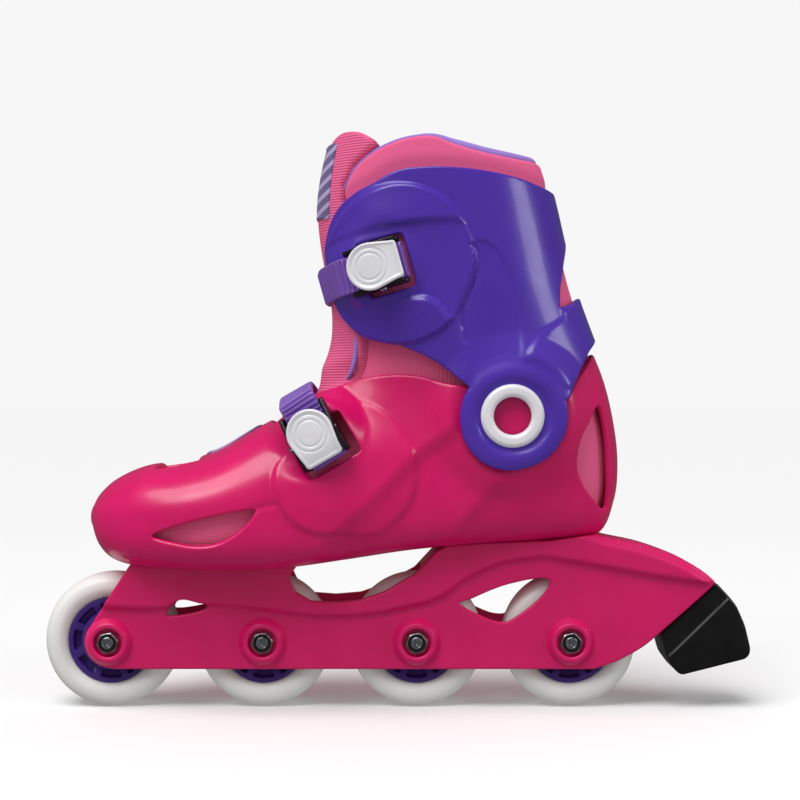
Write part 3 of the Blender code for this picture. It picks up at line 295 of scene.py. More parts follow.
def line_distance(x, z, line, closed=False):
    """The distance from each point (x, z) to a line of points: the least over its segments."""
    line = np.array(line, float)
    ends = np.roll(line, -1, axis=0) if closed else line[1:]
    starts = line if closed else line[:-1]
    best = np.full(np.shape(x), 1e9)
    for (ax, az), (bx, bz) in zip(starts, ends):
        dx, dz = bx - ax, bz - az
        t = np.clip(((x - ax) * dx + (z - az) * dz) / max(dx * dx + dz * dz, 1e-12), 0, 1)
        best = np.minimum(best, (x - ax - t * dx) ** 2 + (z - az - t * dz) ** 2)
    return np.sqrt(best)


def inside(x, z, outline):
    """The distance from (x, z) to a closed outline, positive within it and negative outside.

    A point is within if a ray from it towards +x crosses the outline an odd number of times.
    """
    outline = np.array(outline, float)
    odd = np.zeros(np.shape(x), bool)
    for (ax, az), (bx, bz) in zip(outline, np.roll(outline, -1, axis=0)):
        if az != bz:
            crosses = ((az > z) != (bz > z)) & (x < ax + (z - az) * (bx - ax) / (bz - az))
            odd ^= crosses
    away = line_distance(x, z, outline, closed=True)
    return np.where(odd, away, -away)


def both(*fields):
    """Within every one of these regions: the least of their distances."""
    return np.minimum.reduce(fields)


def unit(v):
    return v / np.maximum(np.linalg.norm(v, axis=-1, keepdims=True), 1e-12)


# --- meshes ---------------------------------------------------------------------------------------
def put(name, points, faces, material, body, smooth=40, uv=None, period=None, weld=0.0, second=None,
        kinds=()):
    """Puts points (millimetres, about the chassis plane) and faces into a mesh that rides on a body.

    Groups of faces that kinds marks with 1 take the second material.

    The faces are turned outwards together if the volume that they enclose comes out negative.
    """
    points = np.asarray(points, float)
    marks = [k for k, f in zip(kinds, faces) for _ in range(len(f))]
    faces = [np.asarray(f) for f in faces if len(f)]
    volume = 0.0
    for f in faces:
        for k in range(1, f.shape[1] - 1):
            volume += np.einsum("ij,ij->", points[f[:, 0]], np.cross(points[f[:, k]], points[f[:, k + 1]]))
    if volume < 0:
        faces = [f[:, ::-1] for f in faces]
    mesh = bpy.data.meshes.new(name)
    place = (points + (0, CENTRE_Y, 0)) * MM
    mesh.from_pydata(place.tolist(), [], [row for f in faces for row in f.tolist()])
    mesh.materials.append(material)
    if second is not None:
        mesh.materials.append(second)
        mesh.polygons.foreach_set("material_index", marks)
    if uv is not None:
        corner = np.concatenate([f.ravel() for f in faces])
        first = np.concatenate([np.repeat(f[:, 0], f.shape[1]) for f in faces])
        at = uv[corner].copy()
        if period:
            at[:, 0] -= period * np.round((at[:, 0] - uv[first][:, 0]) / period)
        layer = mesh.uv_layers.new(name="UVMap")
        layer.data.foreach_set("uv", at.astype(np.float32).ravel())
    if weld:
        bm = bmesh.new()
        bm.from_mesh(mesh)
        bmesh.ops.remove_doubles(bm, verts=bm.verts, dist=weld * MM)
        bmesh.ops.dissolve_degenerate(bm, edges=bm.edges, dist=weld * MM)
        bm.to_mesh(mesh)
        bm.free()
    mesh.validate()
    mesh.shade_smooth()
    mesh.set_sharp_from_angle(angle=math.radians(smooth))
    obj = bpy.data.objects.new(name, mesh)
    bpy.context.scene.collection.objects.link(obj)
    if body:
        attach(obj, body)
    return obj


def grid_triangles(index):
    """Two triangles for each cell of a grid of vertex numbers, without those that a pole has closed up."""
    a, b, c, d = index[:-1, :-1], index[:-1, 1:], index[1:, 1:], index[1:, :-1]
    found = np.concatenate([
        np.stack([a, b, c], -1).reshape(-1, 3), np.stack([a, c, d], -1).reshape(-1, 3)])
    good = (found[:, 0] != found[:, 1]) & (found[:, 1] != found[:, 2]) & (found[:, 2] != found[:, 0])
    return found[good]


def clip(triangles, level, data):
    """Keeps what has a level above 0: a triangle that crosses 0 is cut along the straight line between
    the two points where the level, taken as even along each edge, is 0."""
    level = np.where(np.abs(level) < 0.02, np.where(level < 0, -0.02, 0.02), level)
    up = level > 0
    count = up[triangles].sum(1)
    whole, one, two = triangles[count == 3], triangles[count == 1], triangles[count == 2]

    def turn(t, wanted):
        first = np.argmax(up[t] == wanted, axis=1)
        return np.take_along_axis(t, (first[:, None] + np.arange(3)) % 3, 1)

    one, two = turn(one, True), turn(two, False)
    pairs = np.concatenate([one[:, [0, 1]], one[:, [0, 2]], two[:, [0, 1]], two[:, [0, 2]]])
    low, which = np.unique(np.sort(pairs, 1), axis=0, return_inverse=True)
    which = which.reshape(-1) + len(level)
    share = level[low[:, 0]] / (level[low[:, 0]] - level[low[:, 1]])
    new = data[low[:, 0]] + (data[low[:, 1]] - data[low[:, 0]]) * share[:, None]
    n, m = len(one), len(two)
    one_b, one_c = which[:n], which[n:2 * n]
    two_b, two_c = which[2 * n:2 * n + m], which[2 * n + m:]
    found = np.concatenate([
        whole, np.stack([one[:, 0], one_b, one_c], 1), np.stack([two[:, 1], two[:, 2], two_c], 1),
        np.stack([two[:, 1], two_c, two_b], 1)])
    data = np.concatenate([data, new])
    used, back = np.unique(found, return_inverse=True)
    return back.reshape(found.shape), data[used]


def wall(name, outer, inner, level, radius, material, body, wrap=False, pole=False, steps=3, uv=None,
         period=None, smooth=45, lining=None):
    """A closed wall between two grids of points, kept where level is positive.

    The two faces stop at a distance radius within the edge. From there the rim is a quarter circle out
    to the edge, a straight side, and a quarter circle back to the other face.
    """
    rows, columns = level.shape
    index = np.arange(rows * columns).reshape(rows, columns)
    if pole:
        index[0, :] = index[0, 0]
    if wrap:
        index = np.concatenate([index, index[:, :1]], 1)
    data = [outer.reshape(-1, 3), inner.reshape(-1, 3)]
    if uv is not None:
        data.append(uv.reshape(-1, 2))
    triangles, data = clip(grid_triangles(index), level.reshape(-1) - radius, np.concatenate(data, 1))
    top, low = data[:, :3], data[:, 3:6]
    count = len(data)
    flat = np.cross(top[triangles[:, 1]] - top[triangles[:, 0]], top[triangles[:, 2]] - top[triangles[:, 0]])
    directed = np.concatenate([triangles[:, [0, 1]], triangles[:, [1, 2]], triangles[:, [2, 0]]])
    face = np.tile(np.arange(len(triangles)), 3)
    code, reverse = directed[:, 0] * count + directed[:, 1], directed[:, 1] * count + directed[:, 0]
    open_edge = ~np.isin(code, reverse)
    a, b = directed[open_edge].T
    sideways = unit(np.cross(unit(top[b] - top[a]), unit(flat[face[open_edge]])))
    outwards = np.zeros((count, 3))
    np.add.at(outwards, a, sideways)
    np.add.at(outwards, b, sideways)
    ring = np.unique(np.concatenate([a, b]))
    place = np.zeros(count, int)
    place[ring] = np.arange(len(ring))
    out = unit(outwards[ring])
    through = top[ring] - low[ring]
    thick = np.linalg.norm(through, axis=1, keepdims=True)
    normal = through / np.maximum(thick, 1e-9)
    round_ = np.minimum(radius, thick / 2)
    angles = np.linspace(0, math.pi / 2, steps + 1)[1:]
    rings = [top[ring] + out * radius * math.sin(t) - normal * round_ * (1 - math.cos(t)) for t in angles]
    rings += [low[ring] + out * radius * math.sin(t) + normal * round_ * (1 - math.cos(t))
              for t in angles[::-1]]
    points = np.concatenate([top, low, *rings])
    faces = [triangles, triangles[:, ::-1] + count]
    first, second = place[a], place[b]
    levels = [(a, b)] + [(first + 2 * count + k * len(ring), second + 2 * count + k * len(ring))
                         for k in range(len(rings))] + [(a + count, b + count)]
    for (a0, b0), (a1, b1) in zip(levels, levels[1:]):
        faces.append(np.stack([b0, a0, a1, b1], 1))
    if uv is not None:
        uv = np.concatenate([data[:, 6:8]] * 2 + [data[ring][:, 6:8]] * len(rings))
    kinds = [0, 1] + [int(k > steps) for k in range(len(levels) - 1)]
    return put(name, points, faces, material, body, smooth, uv, period, 0.004 if pole else 0.0, lining, kinds)


def lathe(profile, segments, wrinkle=None):
    """Points and faces of a closed (radius, y) profile turned about the Y axis.

    The point at angle t is (r cos t, y, r sin t). Wrinkle, where it is given, adds to y at (r, y, t).
    """
    profile = np.array(profile, float)
    t = np.linspace(0, TAU, segments, endpoint=False)[None, :]
    r, y = profile[:, :1] + 0 * t, profile[:, 1:] + 0 * t
    if wrinkle is not None:
        y = y + wrinkle(r, y, t)
    points = np.stack([r * np.cos(t), y, r * np.sin(t)], -1)
    index = np.arange(r.size).reshape(r.shape)
    index = np.concatenate([index, index[:, :1]], 1)
    index = np.concatenate([index, index[:1]], 0)
    quads = np.stack([index[:-1, :-1], index[:-1, 1:], index[1:, 1:], index[1:, :-1]], -1).reshape(-1, 4)
    return points.reshape(-1, 3), quads


def together(parts):
    """The points and faces of several meshes as one."""
    points, faces, start = [], [], 0
    for p, f in parts:
        points.append(p)
        faces += [g + start for g in (f if isinstance(f, list) else [f])]
        start += len(p)
    return np.concatenate(points), faces


def fillet(corners, radius, steps=4):
    """A closed profile with its corners rounded: each corner becomes a quadratic curve that leaves the
    two sides at the given distance, or at 45% of the shorter side."""
    p = np.array(corners, float)
    before, after = np.roll(p, 1, 0) - p, np.roll(p, -1, 0) - p
    shorter = np.minimum(np.linalg.norm(before, axis=1), np.linalg.norm(after, axis=1))
    reach = np.minimum(radius, 0.45 * shorter)
    start, end = p + unit(before) * reach[:, None], p + unit(after) * reach[:, None]
    t = np.linspace(0, 1, steps + 1)[None, :, None]
    return ((1 - t) ** 2 * start[:, None] + 2 * t * (1 - t) * p[:, None] + t**2 * end[:, None]).reshape(-1, 2)


def sweep(path, out, side, profile):
    """Points and faces of a closed profile carried along a path: p + out*h + side*w, capped at the ends.

    The profile may be the same all along, (m, 2), or one for each point of the path, (n, m, 2).
    """
    profile = np.broadcast_to(profile, (len(path), *np.shape(profile)[-2:]))
    points = (path[:, None] + side[:, None] * profile[..., :1] + out[:, None] * profile[..., 1:])
    n, m = profile.shape[:2]
    index = np.arange(n * m).reshape(n, m)
    index = np.concatenate([index, index[:, :1]], 1)
    quads = np.stack([index[:-1, :-1], index[:-1, 1:], index[1:, 1:], index[1:, :-1]], -1).reshape(-1, 4)
    middle = np.stack([points[0].mean(0), points[-1].mean(0)])
    first = np.stack([np.full(m, n * m), index[0, 1:], index[0, :-1]], 1)
    last = np.stack([np.full(m, n * m + 1), index[-1, :-1], index[-1, 1:]], 1)
    return np.concatenate([points.reshape(-1, 3), middle]), [quads, first, last]


def circle(radius, count=12):
    t = np.linspace(0, TAU, count, endpoint=False)
    return np.stack([radius * np.cos(t), radius * np.sin(t)], 1)


def tube(path, radius, count=12):
    """Points and faces of a round cord along a path. The radius may be one for each point."""
    path = np.asarray(path, float)
    tangent = unit(np.gradient(path, axis=0))
    side = np.cross(tangent, (0.0, 1.0, 0.03))
    side = unit(side)
    size = np.broadcast_to(radius, len(path))[:, None, None]
    return sweep(path, np.cross(tangent, side), side, circle(1.0, count)[None] * size)


# --- the boot form --------------------------------------------------------------------------------
def section(u):
    """The section at u: a Catmull-Rom curve through BOOT_SECTIONS, whose rows are the whole numbers."""
    i = np.clip(np.floor(u).astype(int), 0, LAST - 1)
    t = (u - i)[..., None]
    a, b, c, d = (BOOT_SECTIONS[np.clip(i + k, 0, LAST)] for k in (-1, 0, 1, 2))
    return 0.5 * (2 * b + (c - a) * t + (2 * a - 5 * b + 4 * c - d) * t**2 + (3 * b - a - 3 * c + d) * t**3)


def contour_normal(u, column):
    """The unit normal of the front (column 0) or back (column 2) contour at u, pointing outwards."""
    before, after = section(np.maximum(u - 0.05, 0)), section(np.minimum(u + 0.05, LAST))
    along = after[..., column:column + 2] - before[..., column:column + 2]
    left = unit(np.stack([-along[..., 1], along[..., 0]], -1))
    return left if column == 0 else -left


def boot(u, angle, offset=0.0, first=0.0, nose=NOSE):
    """Points of the boot form grown by offset. Angle 0 is the front and +90 degrees the medial side.

    A section is a superellipse in polar form: at angle t the reach is (|cos t|^n + |sin t|^n)^(-1/n),
    times half the chord from front to back along it, and half the width across. For u below first the
    section shrinks as a quarter ellipse, and closes at a tip that is nose further forward.
    """
    u, angle, offset = np.broadcast_arrays(u, angle, offset)
    tip = np.clip(first - u, 0, 1)
    base = np.clip(u, first, LAST)
    row = section(base)
    grow = offset[..., None]
    front = row[..., 0:2] + contour_normal(base, 0) * grow
    back = row[..., 2:4] + contour_normal(base, 2) * grow
    half = row[..., 4] + offset * np.minimum(1, row[..., 4] / 20)
    c, s = np.cos(angle), np.sin(angle)
    n = np.where(c > 0, row[..., 5], row[..., 6])
    reach = (np.abs(c) ** n + np.abs(s) ** n) ** (-1 / n) * np.sqrt(np.maximum(1 - tip**2, 0))
    place = (front + back) / 2 + (front - back) / 2 * (reach * c)[..., None]
    return np.stack([place[..., 0] - tip * (nose + offset), half * reach * s, place[..., 1]], -1)


def pivot_flat(p, level):
    """Flattens both sides round the cuff's pivot to |y| = level, easing out from 25 to 40 mm away."""
    share = 1 - smoothstep(25, 40, np.hypot(p[..., 0] - PIVOT_X, p[..., 2] - PIVOT_Z))
    p[..., 1] += (np.copysign(level, p[..., 1]) - p[..., 1]) * share
    return p


def buckle_axes(which):
    """The centre of a buckle, the way to its hinge end, the way across and the way out."""
    b = BUCKLES[which]
    slope, turn = math.radians(b["slope"]), math.radians(b["turn"])
    out = np.array((-math.sin(turn), -math.cos(turn), 0.0))
    along = np.array((math.cos(slope), 0.0, math.sin(slope)))
    along = unit(along - out * (along @ out))
    return np.array((b["x"], b["face_y"], b["z"])), along, np.cross(out, along), out


def buckle_seat(p, which):
    """Draws the lateral side flat on the buckle's plane, easing out from 13 to 25 mm away."""
    centre, _, _, out = buckle_axes(which)
    away = np.hypot(p[..., 0] - centre[0], p[..., 2] - centre[2])
    share = np.where(p[..., 1] > 0, 0, 1 - smoothstep(13, 25, away))
    plane = centre[1] - ((p[..., 0] - centre[0]) * out[0] + (p[..., 2] - centre[2]) * out[2]) / out[1]
    p[..., 1] += (plane - p[..., 1]) * share
    return p


def section_at(x, z):
    """Which section passes through the side-view point (x, z), by halving, and where along it (-1..1)."""
    low, high = np.zeros(np.shape(x)), np.full(np.shape(x), float(LAST))
    for _ in range(30):
        middle = (low + high) / 2
        row = section(middle)
        dx, dz = row[..., 2] - row[..., 0], row[..., 3] - row[..., 1]
        ahead = dx * (z - row[..., 1]) - dz * (x - row[..., 0]) > 0
        low, high = np.where(ahead, middle, low), np.where(ahead, high, middle)
    row = section(low)
    chord = row[..., 0:2] - row[..., 2:4]
    centre = (row[..., 0:2] + row[..., 2:4]) / 2
    at = np.stack([x, z], -1)
    return low, 2 * ((at - centre) * chord).sum(-1) / (chord**2).sum(-1)


def side_reach(x, z, offset):
    """How far the form, grown by offset, reaches sideways from the middle at a side-view point."""
    u, along = section_at(x, z)
    row = section(u)
    length = np.linalg.norm(row[..., 0:2] - row[..., 2:4], axis=-1)
    along = along * length / (length + 2 * offset)
    power = np.where(along > 0, row[..., 5], row[..., 6])
    rest = np.maximum(1 - np.abs(along) ** power, 0)
    return (row[..., 4] + offset) * rest ** (1 / power)


def around(lateral, medial):
    """Angles once round, with more points on the lateral side (below 0) than on the medial side."""
    return np.concatenate([
        np.linspace(-math.pi, 0, lateral, endpoint=False), np.linspace(0, math.pi, medial, endpoint=False)])


def sole_z(x):
    """Height of the outside of the sole over x."""
    return np.interp(x, BOOT_SECTIONS[:12, 2], BOOT_SECTIONS[:12, 3])


# --- materials ------------------------------------------------------------------------------------
def add(tree, kind, inputs=None, **settings):
    """Adds a node with its settings, and sets or links each input that is given."""
    made = tree.nodes.new(kind)
    for key, value in settings.items():
        setattr(made, key, value)
    for key, value in (inputs or {}).items():
        if isinstance(value, bpy.types.NodeSocket):
            tree.links.new(value, made.inputs[key])
        else:
            made.inputs[key].default_value = value
    return made


def start_material(name, colour, **values):
    """An empty Principled material: its tree, its shader, and the piece's own coordinates in metres."""
    made = bpy.data.materials.new(name)
    made.use_nodes = True
    made.diffuse_color = (*colour, 1)
    tree = made.node_tree
    tree.nodes.clear()
    shader = add(tree, "ShaderNodeBsdfPrincipled", {"Base Color": (*colour, 1), **values})
    output = add(tree, "ShaderNodeOutputMaterial")
    tree.links.new(shader.outputs["BSDF"], output.inputs["Surface"])
    place = add(tree, "ShaderNodeTexCoord").outputs["Object"]
    return made, tree, shader, place


def shade(colour, factor):
    return tuple(min(1.0, c * factor) for c in colour) + (1,)


def vary(tree, shader, place, colour, size_mm, low, high):
    """Base colour that drifts between two shades, over patches of the given size."""
    drift = add(tree, "ShaderNodeTexNoise", {"Vector": place, "Scale": 1 / (size_mm * MM), "Detail": 3.0})
    ramp = add(tree, "ShaderNodeMapRange", {
        "Value": drift.outputs["Fac"], "From Min": 0.3, "From Max": 0.7})
    mixed = add(tree, "ShaderNodeMix", {
        "Factor": ramp.outputs["Result"], "A": shade(colour, low), "B": shade(colour, high)},
        data_type="RGBA")
    tree.links.new(mixed.outputs["Result"], shader.inputs["Base Color"])
    return drift


def roughen(tree, shader, source, low, high):
    """Roughness from low to high as the source goes from 0.2 to 0.8."""
    ramp = add(tree, "ShaderNodeMapRange", {
        "Value": source, "From Min": 0.2, "From Max": 0.8, "To Min": low, "To Max": high})
    tree.links.new(ramp.outputs["Result"], shader.inputs["Roughness"])


def emboss(tree, shader, height, depth_mm, strength=1.0, below=None):
    """Bump of the given depth in millimetres, over another bump if there is one."""
    inputs = {"Height": height, "Distance": depth_mm * MM, "Strength": strength}
    if below is not None:
        inputs["Normal"] = below.outputs["Normal"]
    bump = add(tree, "ShaderNodeBump", inputs)
    tree.links.new(bump.outputs["Normal"], shader.inputs["Normal"])
    return bump


def moulded_polypropylene(name, colour, rough, coat):
    """Injection-moulded polypropylene: an even satin skin that follows a polished tool, with a soft sink
    of the surface every few centimetres, a spark-eroded grain of about 0.4 mm, and light rub marks."""
    made, tree, shader, place = start_material(
        name, colour, IOR=1.49, **{
            "Subsurface Weight": 0.06, "Subsurface Scale": 0.004, "Subsurface Radius": (1.0, 0.35, 0.45),
            "Coat Weight": coat, "Coat Roughness": 0.12})
    vary(tree, shader, place, colour, 26, 0.93, 1.05)
    grain = add(tree, "ShaderNodeTexNoise", {"Vector": place, "Scale": 1 / (0.45 * MM), "Detail": 2.0})
    rub = add(tree, "ShaderNodeTexNoise", {"Vector": place, "Scale": 1 / (14 * MM), "Detail": 1.0})
    roughen(tree, shader, rub.outputs["Fac"], rough - 0.04, rough + 0.07)
    sink = add(tree, "ShaderNodeTexNoise", {"Vector": place, "Scale": 1 / (22 * MM), "Detail": 0.0})
    low = emboss(tree, shader, sink.outputs["Fac"], 0.25, 0.3)
    emboss(tree, shader, grain.outputs["Fac"], 0.014, 0.6, low)
    return made


def woven(name, colour, dark, pitch_mm, depth_mm, fuzz):
    """Warp-knitted polyester over foam: fine upright wales about 1.2 mm apart and rows of loops, which
    read as ribs with a soft fuzz. The base colour is painted darker, by the factor dark, in the grooves
    between the wales and loops: painted shade. The UV map is in millimetres round and up the leg."""
    made, tree, shader, place = start_material(
        name, colour, Roughness=0.92, IOR=1.5, **{
            "Sheen Weight": 0.5, "Sheen Roughness": 0.45, "Sheen Tint": (*colour, 1)})
    uv = add(tree, "ShaderNodeUVMap", uv_map="UVMap").outputs["UV"]
    wale = add(tree, "ShaderNodeTexWave", {
        "Vector": uv, "Scale": TAU / 20 / pitch_mm, "Distortion": 0.4, "Detail": 1.0, "Detail Scale": 2.0},
        wave_type="BANDS", bands_direction="X")
    loops = add(tree, "ShaderNodeTexWave", {
        "Vector": uv, "Scale": TAU / 20 / (pitch_mm * 0.8), "Distortion": 0.6, "Detail": 1.0},
        wave_type="BANDS", bands_direction="Y")
    cross = add(tree, "ShaderNodeMath", {0: wale.outputs["Fac"], 1: loops.outputs["Fac"]},
                operation="MULTIPLY")
    yarn = add(tree, "ShaderNodeTexNoise", {"Vector": place, "Scale": 1 / (0.5 * MM), "Detail": 3.0})
    # Painted shade: the base colour darkens by the factor dark away from the crests of the wales and loops
    mixed = add(tree, "ShaderNodeMix", {
        "Factor": cross.outputs[0], "A": shade(colour, dark), "B": shade(colour, 1.06)}, data_type="RGBA")
    fuzzy = add(tree, "ShaderNodeMix", {
        "Factor": yarn.outputs["Fac"], "A": mixed.outputs["Result"], "B": shade(colour, 1.0)},
        data_type="RGBA")
    tree.links.new(fuzzy.outputs["Result"], shader.inputs["Base Color"])
    low = emboss(tree, shader, wale.outputs["Fac"], depth_mm, 0.8)
    emboss(tree, shader, yarn.outputs["Fac"], fuzz, 0.6, low)
    return made


def ribbed_knit(name, colour):
    """Elastic rib knit of the tongue: level ribs 1.25 mm apart with a shadow between them, crossed by
    fine yarns."""
    made, tree, shader, place = start_material(
        name, colour, Roughness=0.9, IOR=1.5, **{
            "Sheen Weight": 0.25, "Sheen Roughness": 0.4, "Sheen Tint": (*colour, 1)})
    ribs = add(tree, "ShaderNodeTexWave", {
        "Vector": place, "Scale": TAU / 20 / (1.25 * MM), "Distortion": 0.25, "Detail": 1.0,
        "Detail Scale": 1.5},
        wave_type="BANDS", bands_direction="Z")
    yarn = add(tree, "ShaderNodeTexNoise", {"Vector": place, "Scale": 1 / (0.5 * MM), "Detail": 2.0})
    mixed = add(tree, "ShaderNodeMix", {
        "Factor": ribs.outputs["Fac"], "A": shade(colour, 0.80), "B": shade(colour, 1.05)}, data_type="RGBA")
    tree.links.new(mixed.outputs["Result"], shader.inputs["Base Color"])
    low = emboss(tree, shader, ribs.outputs["Fac"], 0.35, 0.8)
    emboss(tree, shader, yarn.outputs["Fac"], 0.08, 0.5, low)
    return made


def cast_polyurethane(name, colour):
    """Cast polyurethane: milky and slightly see-through, with a fine ground bloom on the tread."""
    made, tree, shader, place = start_material(
        name, colour, IOR=1.5, **{
            "Subsurface Weight": 0.5, "Subsurface Scale": 0.006, "Subsurface Radius": (1.0, 0.95, 0.85),
            "Coat Weight": 0.1, "Coat Roughness": 0.25})
    cloud = vary(tree, shader, place, colour, 18, 0.97, 1.02)
    roughen(tree, shader, cloud.outputs["Fac"], 0.34, 0.48)
    ground = add(tree, "ShaderNodeTexNoise", {"Vector": place, "Scale": 1 / (0.4 * MM), "Detail": 3.0})
    emboss(tree, shader, ground.outputs["Fac"], 0.015, 0.5)
    return made


def zinc_steel(name, colour, rough):
    """Zinc-plated steel: bright grey metal with a fine crystal bloom."""
    made, tree, shader, place = start_material(name, colour, Metallic=1.0)
    bloom = add(tree, "ShaderNodeTexVoronoi", {"Vector": place, "Scale": 1 / (0.8 * MM)})
    drift = vary(tree, shader, place, colour, 4, 0.82, 1.08)
    roughen(tree, shader, drift.outputs["Fac"], rough - 0.06, rough + 0.10)
    emboss(tree, shader, bloom.outputs["Distance"], 0.02, 0.35)
    return made


def moulded_rubber(name, colour):
    """Compression-moulded rubber: near black, satin, with a fine stipple and a grey scuff where it rubs."""
    made, tree, shader, place = start_material(
        name, colour, IOR=1.52, **{"Coat Weight": 0.12, "Coat Roughness": 0.3})
    scuff = vary(tree, shader, place, colour, 7, 0.8, 1.25)
    roughen(tree, shader, scuff.outputs["Fac"], 0.34, 0.50)
    stipple = add(tree, "ShaderNodeTexNoise", {"Vector": place, "Scale": 1 / (0.5 * MM), "Detail": 3.0})
    emboss(tree, shader, stipple.outputs["Fac"], 0.03, 0.5)
    return made


def painted_steel(name, colour):
    """Powder-painted pressed steel: black with an orange-peel skin of about 1.2 mm."""
    made, tree, shader, place = start_material(name, colour, IOR=1.5)
    peel = vary(tree, shader, place, colour, 1.2, 0.8, 1.35)
    roughen(tree, shader, peel.outputs["Fac"], 0.22, 0.34)
    emboss(tree, shader, peel.outputs["Fac"], 0.02, 0.6)
    return made


def woven_label(name, ground, thread):
    """Jacquard label: satin ground with slanted woven stripes 3 mm apart and a 0.5 mm weave."""
    made, tree, shader, place = start_material(name, ground, Roughness=0.7, IOR=1.5, **{
        "Sheen Weight": 0.2, "Sheen Roughness": 0.4})
    slant = add(tree, "ShaderNodeMapping", {"Vector": place, "Rotation": (0.0, 0.6, 0.0)})
    stripe = add(tree, "ShaderNodeTexWave", {
        "Vector": slant.outputs["Vector"], "Scale": TAU / 20 / (5 * MM)},
        wave_type="BANDS", bands_direction="Z")
    step = add(tree, "ShaderNodeMapRange", {
        "Value": stripe.outputs["Fac"], "From Min": 0.6, "From Max": 0.75})
    weave = add(tree, "ShaderNodeTexWave", {
        "Vector": place, "Scale": TAU / 20 / (0.6 * MM)}, wave_type="BANDS", bands_direction="X")
    mixed = add(tree, "ShaderNodeMix", {
        "Factor": step.outputs["Result"], "A": (*ground, 1), "B": (*thread, 1)}, data_type="RGBA")
    tree.links.new(mixed.outputs["Result"], shader.inputs["Base Color"])
    emboss(tree, shader, weave.outputs["Fac"], 0.08, 0.6)
    return made


def floor_paper(name, colour):
    """Matt backdrop paper, with a very faint mottle."""
    made, tree, shader, place = start_material(name, colour, Roughness=0.9, **{"Specular IOR Level": 0.0})
    vary(tree, shader, place, colour, 60, 0.995, 1.0)
    return made


# Moulded plastics: the colour, or the name of the property that holds it, the roughness and the coat.
PLASTICS = {
    "pink polypropylene": ("shell", 0.30, 0.22),
    "chassis polypropylene": ("shell", 0.40, 0.05),
    "purple polypropylene": ("cuff", 0.27, 0.30),
    "strap polyurethane": ("strap", 0.38, 0.05),
    "hub nylon": ("hub", 0.36, 0.1),
    "lever ABS": ("lever", 0.26, 0.2),
    # The pivot bush: the liner's pink darkened, painted shade that stands for the knit seen deep in the
    # ring's hole
    "bush polypropylene": (linear("#8E1F48"), 0.6, 0.0),
}
MAKERS = {
    # The number after the colour in woven is the painted shade in the knit's grooves
    "liner knit": lambda c: woven("liner knit", tuple(c.liner), 0.88, 1.2, 0.16, 0.08),
    "tongue rib knit": lambda c: ribbed_knit("tongue rib knit", tuple(c.liner)),
    "binding tape": lambda c: woven("binding tape", tuple(c.lining), 0.85, 0.7, 0.1, 0.06),
    "cast polyurethane": lambda c: cast_polyurethane("cast polyurethane", tuple(c.tyre)),
    "zinc steel": lambda c: zinc_steel("zinc steel", linear("#C9CDD1"), 0.28),
    "dark steel": lambda c: zinc_steel("dark steel", linear("#6E7278"), 0.36),
    "painted steel": lambda c: painted_steel("painted steel", tuple(c.base)),
    "brake rubber": lambda c: moulded_rubber("brake rubber", tuple(c.brake)),
    "woven label": lambda c: woven_label("woven label", linear("#6A5C8C"), linear("#B7A6D6")),
    "backdrop paper": lambda c: floor_paper("backdrop paper", tuple(c.floor)),
}


def finish_of(name):
    """The material of that name, made the first time that it is asked for."""
    found = bpy.data.materials.get(name)
    if found:
        return found
    colours = bpy.context.scene.skate_colours
    if name not in PLASTICS:
        return MAKERS[name](colours)
    colour, rough, coat = PLASTICS[name]
    if isinstance(colour, str):
        colour = tuple(getattr(colours, colour))
    return moulded_polypropylene(name, colour, rough, coat)


def dress(node, name):
    """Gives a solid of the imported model, which stays as it is, one of the finishes."""
    obj = frame["nodes"][node]
    for place in obj.material_slots:
        place.material = finish_of(name)
    return obj


# --- pieces ---------------------------------------------------------------------------------------
def home(node):
    """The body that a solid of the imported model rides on."""
    return frame["nodes"][node]["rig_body"]


def stand_for(obj, slot, *nodes):
    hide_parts(*nodes)
    return obj


def flat_grid(outline, step, margin=1.0):
    """A grid of points over an outline's box, step apart."""
    low, high = np.min(outline, 0) - margin, np.max(outline, 0) + margin
    p = np.linspace(low[0], high[0], int((high[0] - low[0]) / step) + 2)
    q = np.linspace(low[1], high[1], int((high[1] - low[1]) / step) + 2)
    return np.meshgrid(p, q, indexing="ij")


def plate(name, outline, low, high, material, body, axes, radius=0.4, step=0.6, hole=None, smooth=45):
    """A plate with rounded edges: every point of the outline's plane from low to high above it.

    Axes are the origin and the three directions p, q and n. Low and high are heights, or functions of
    p and q. Hole is a distance field that is positive where the plate is kept.
    """
    origin, along, across, out = (np.asarray(v, float) for v in axes)
    p, q = flat_grid(outline, step)
    level = inside(p, q, outline)
    if hole is not None:
        level = both(level, hole(p, q))
    flat = origin + p[..., None] * along + q[..., None] * across
    heights = [h(p, q) if callable(h) else np.full(p.shape, float(h)) for h in (high, low)]
    top, bottom = (flat + h[..., None] * out for h in heights)
    return wall(name, top, bottom, level, radius, material, body, smooth=smooth)



def joined(name, parts, slot, *nodes):
    """Several meshes made into one piece, which stands for the given solids."""
    meshes = [o.data for o in parts]
    bm = bmesh.new()
    for mesh in meshes:
        bm.from_mesh(mesh)
    made = bpy.data.meshes.new(name)
    bm.to_mesh(made)
    bm.free()
    for material in meshes[0].materials:
        made.materials.append(material)
    body = parts[0].get("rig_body")
    for o in parts:
        bpy.data.objects.remove(o, do_unlink=True)
    obj = bpy.data.objects.new(name, made)
    bpy.context.scene.collection.objects.link(obj)
    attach(obj, body)
    return stand_for(obj, slot, *nodes)


# --- boot: shell, cuff, liner, tongue ----------------------------------------------------------------
RIM_CURVE = np.vstack([SHELL_RIM[:3], curve_through(SHELL_RIM[3:13], 5), SHELL_RIM[13:]])


def local_outline(which, corners):
    """Corners given along and across a buckle, as side-view points."""
    b = BUCKLES[which]
    slope = math.radians(b["slope"])
    a, c = np.array(corners, float).T
    return np.stack([b["x"] + a * math.cos(slope) - c * math.sin(slope),
                     b["z"] + a * math.sin(slope) + c * math.cos(slope)], 1)


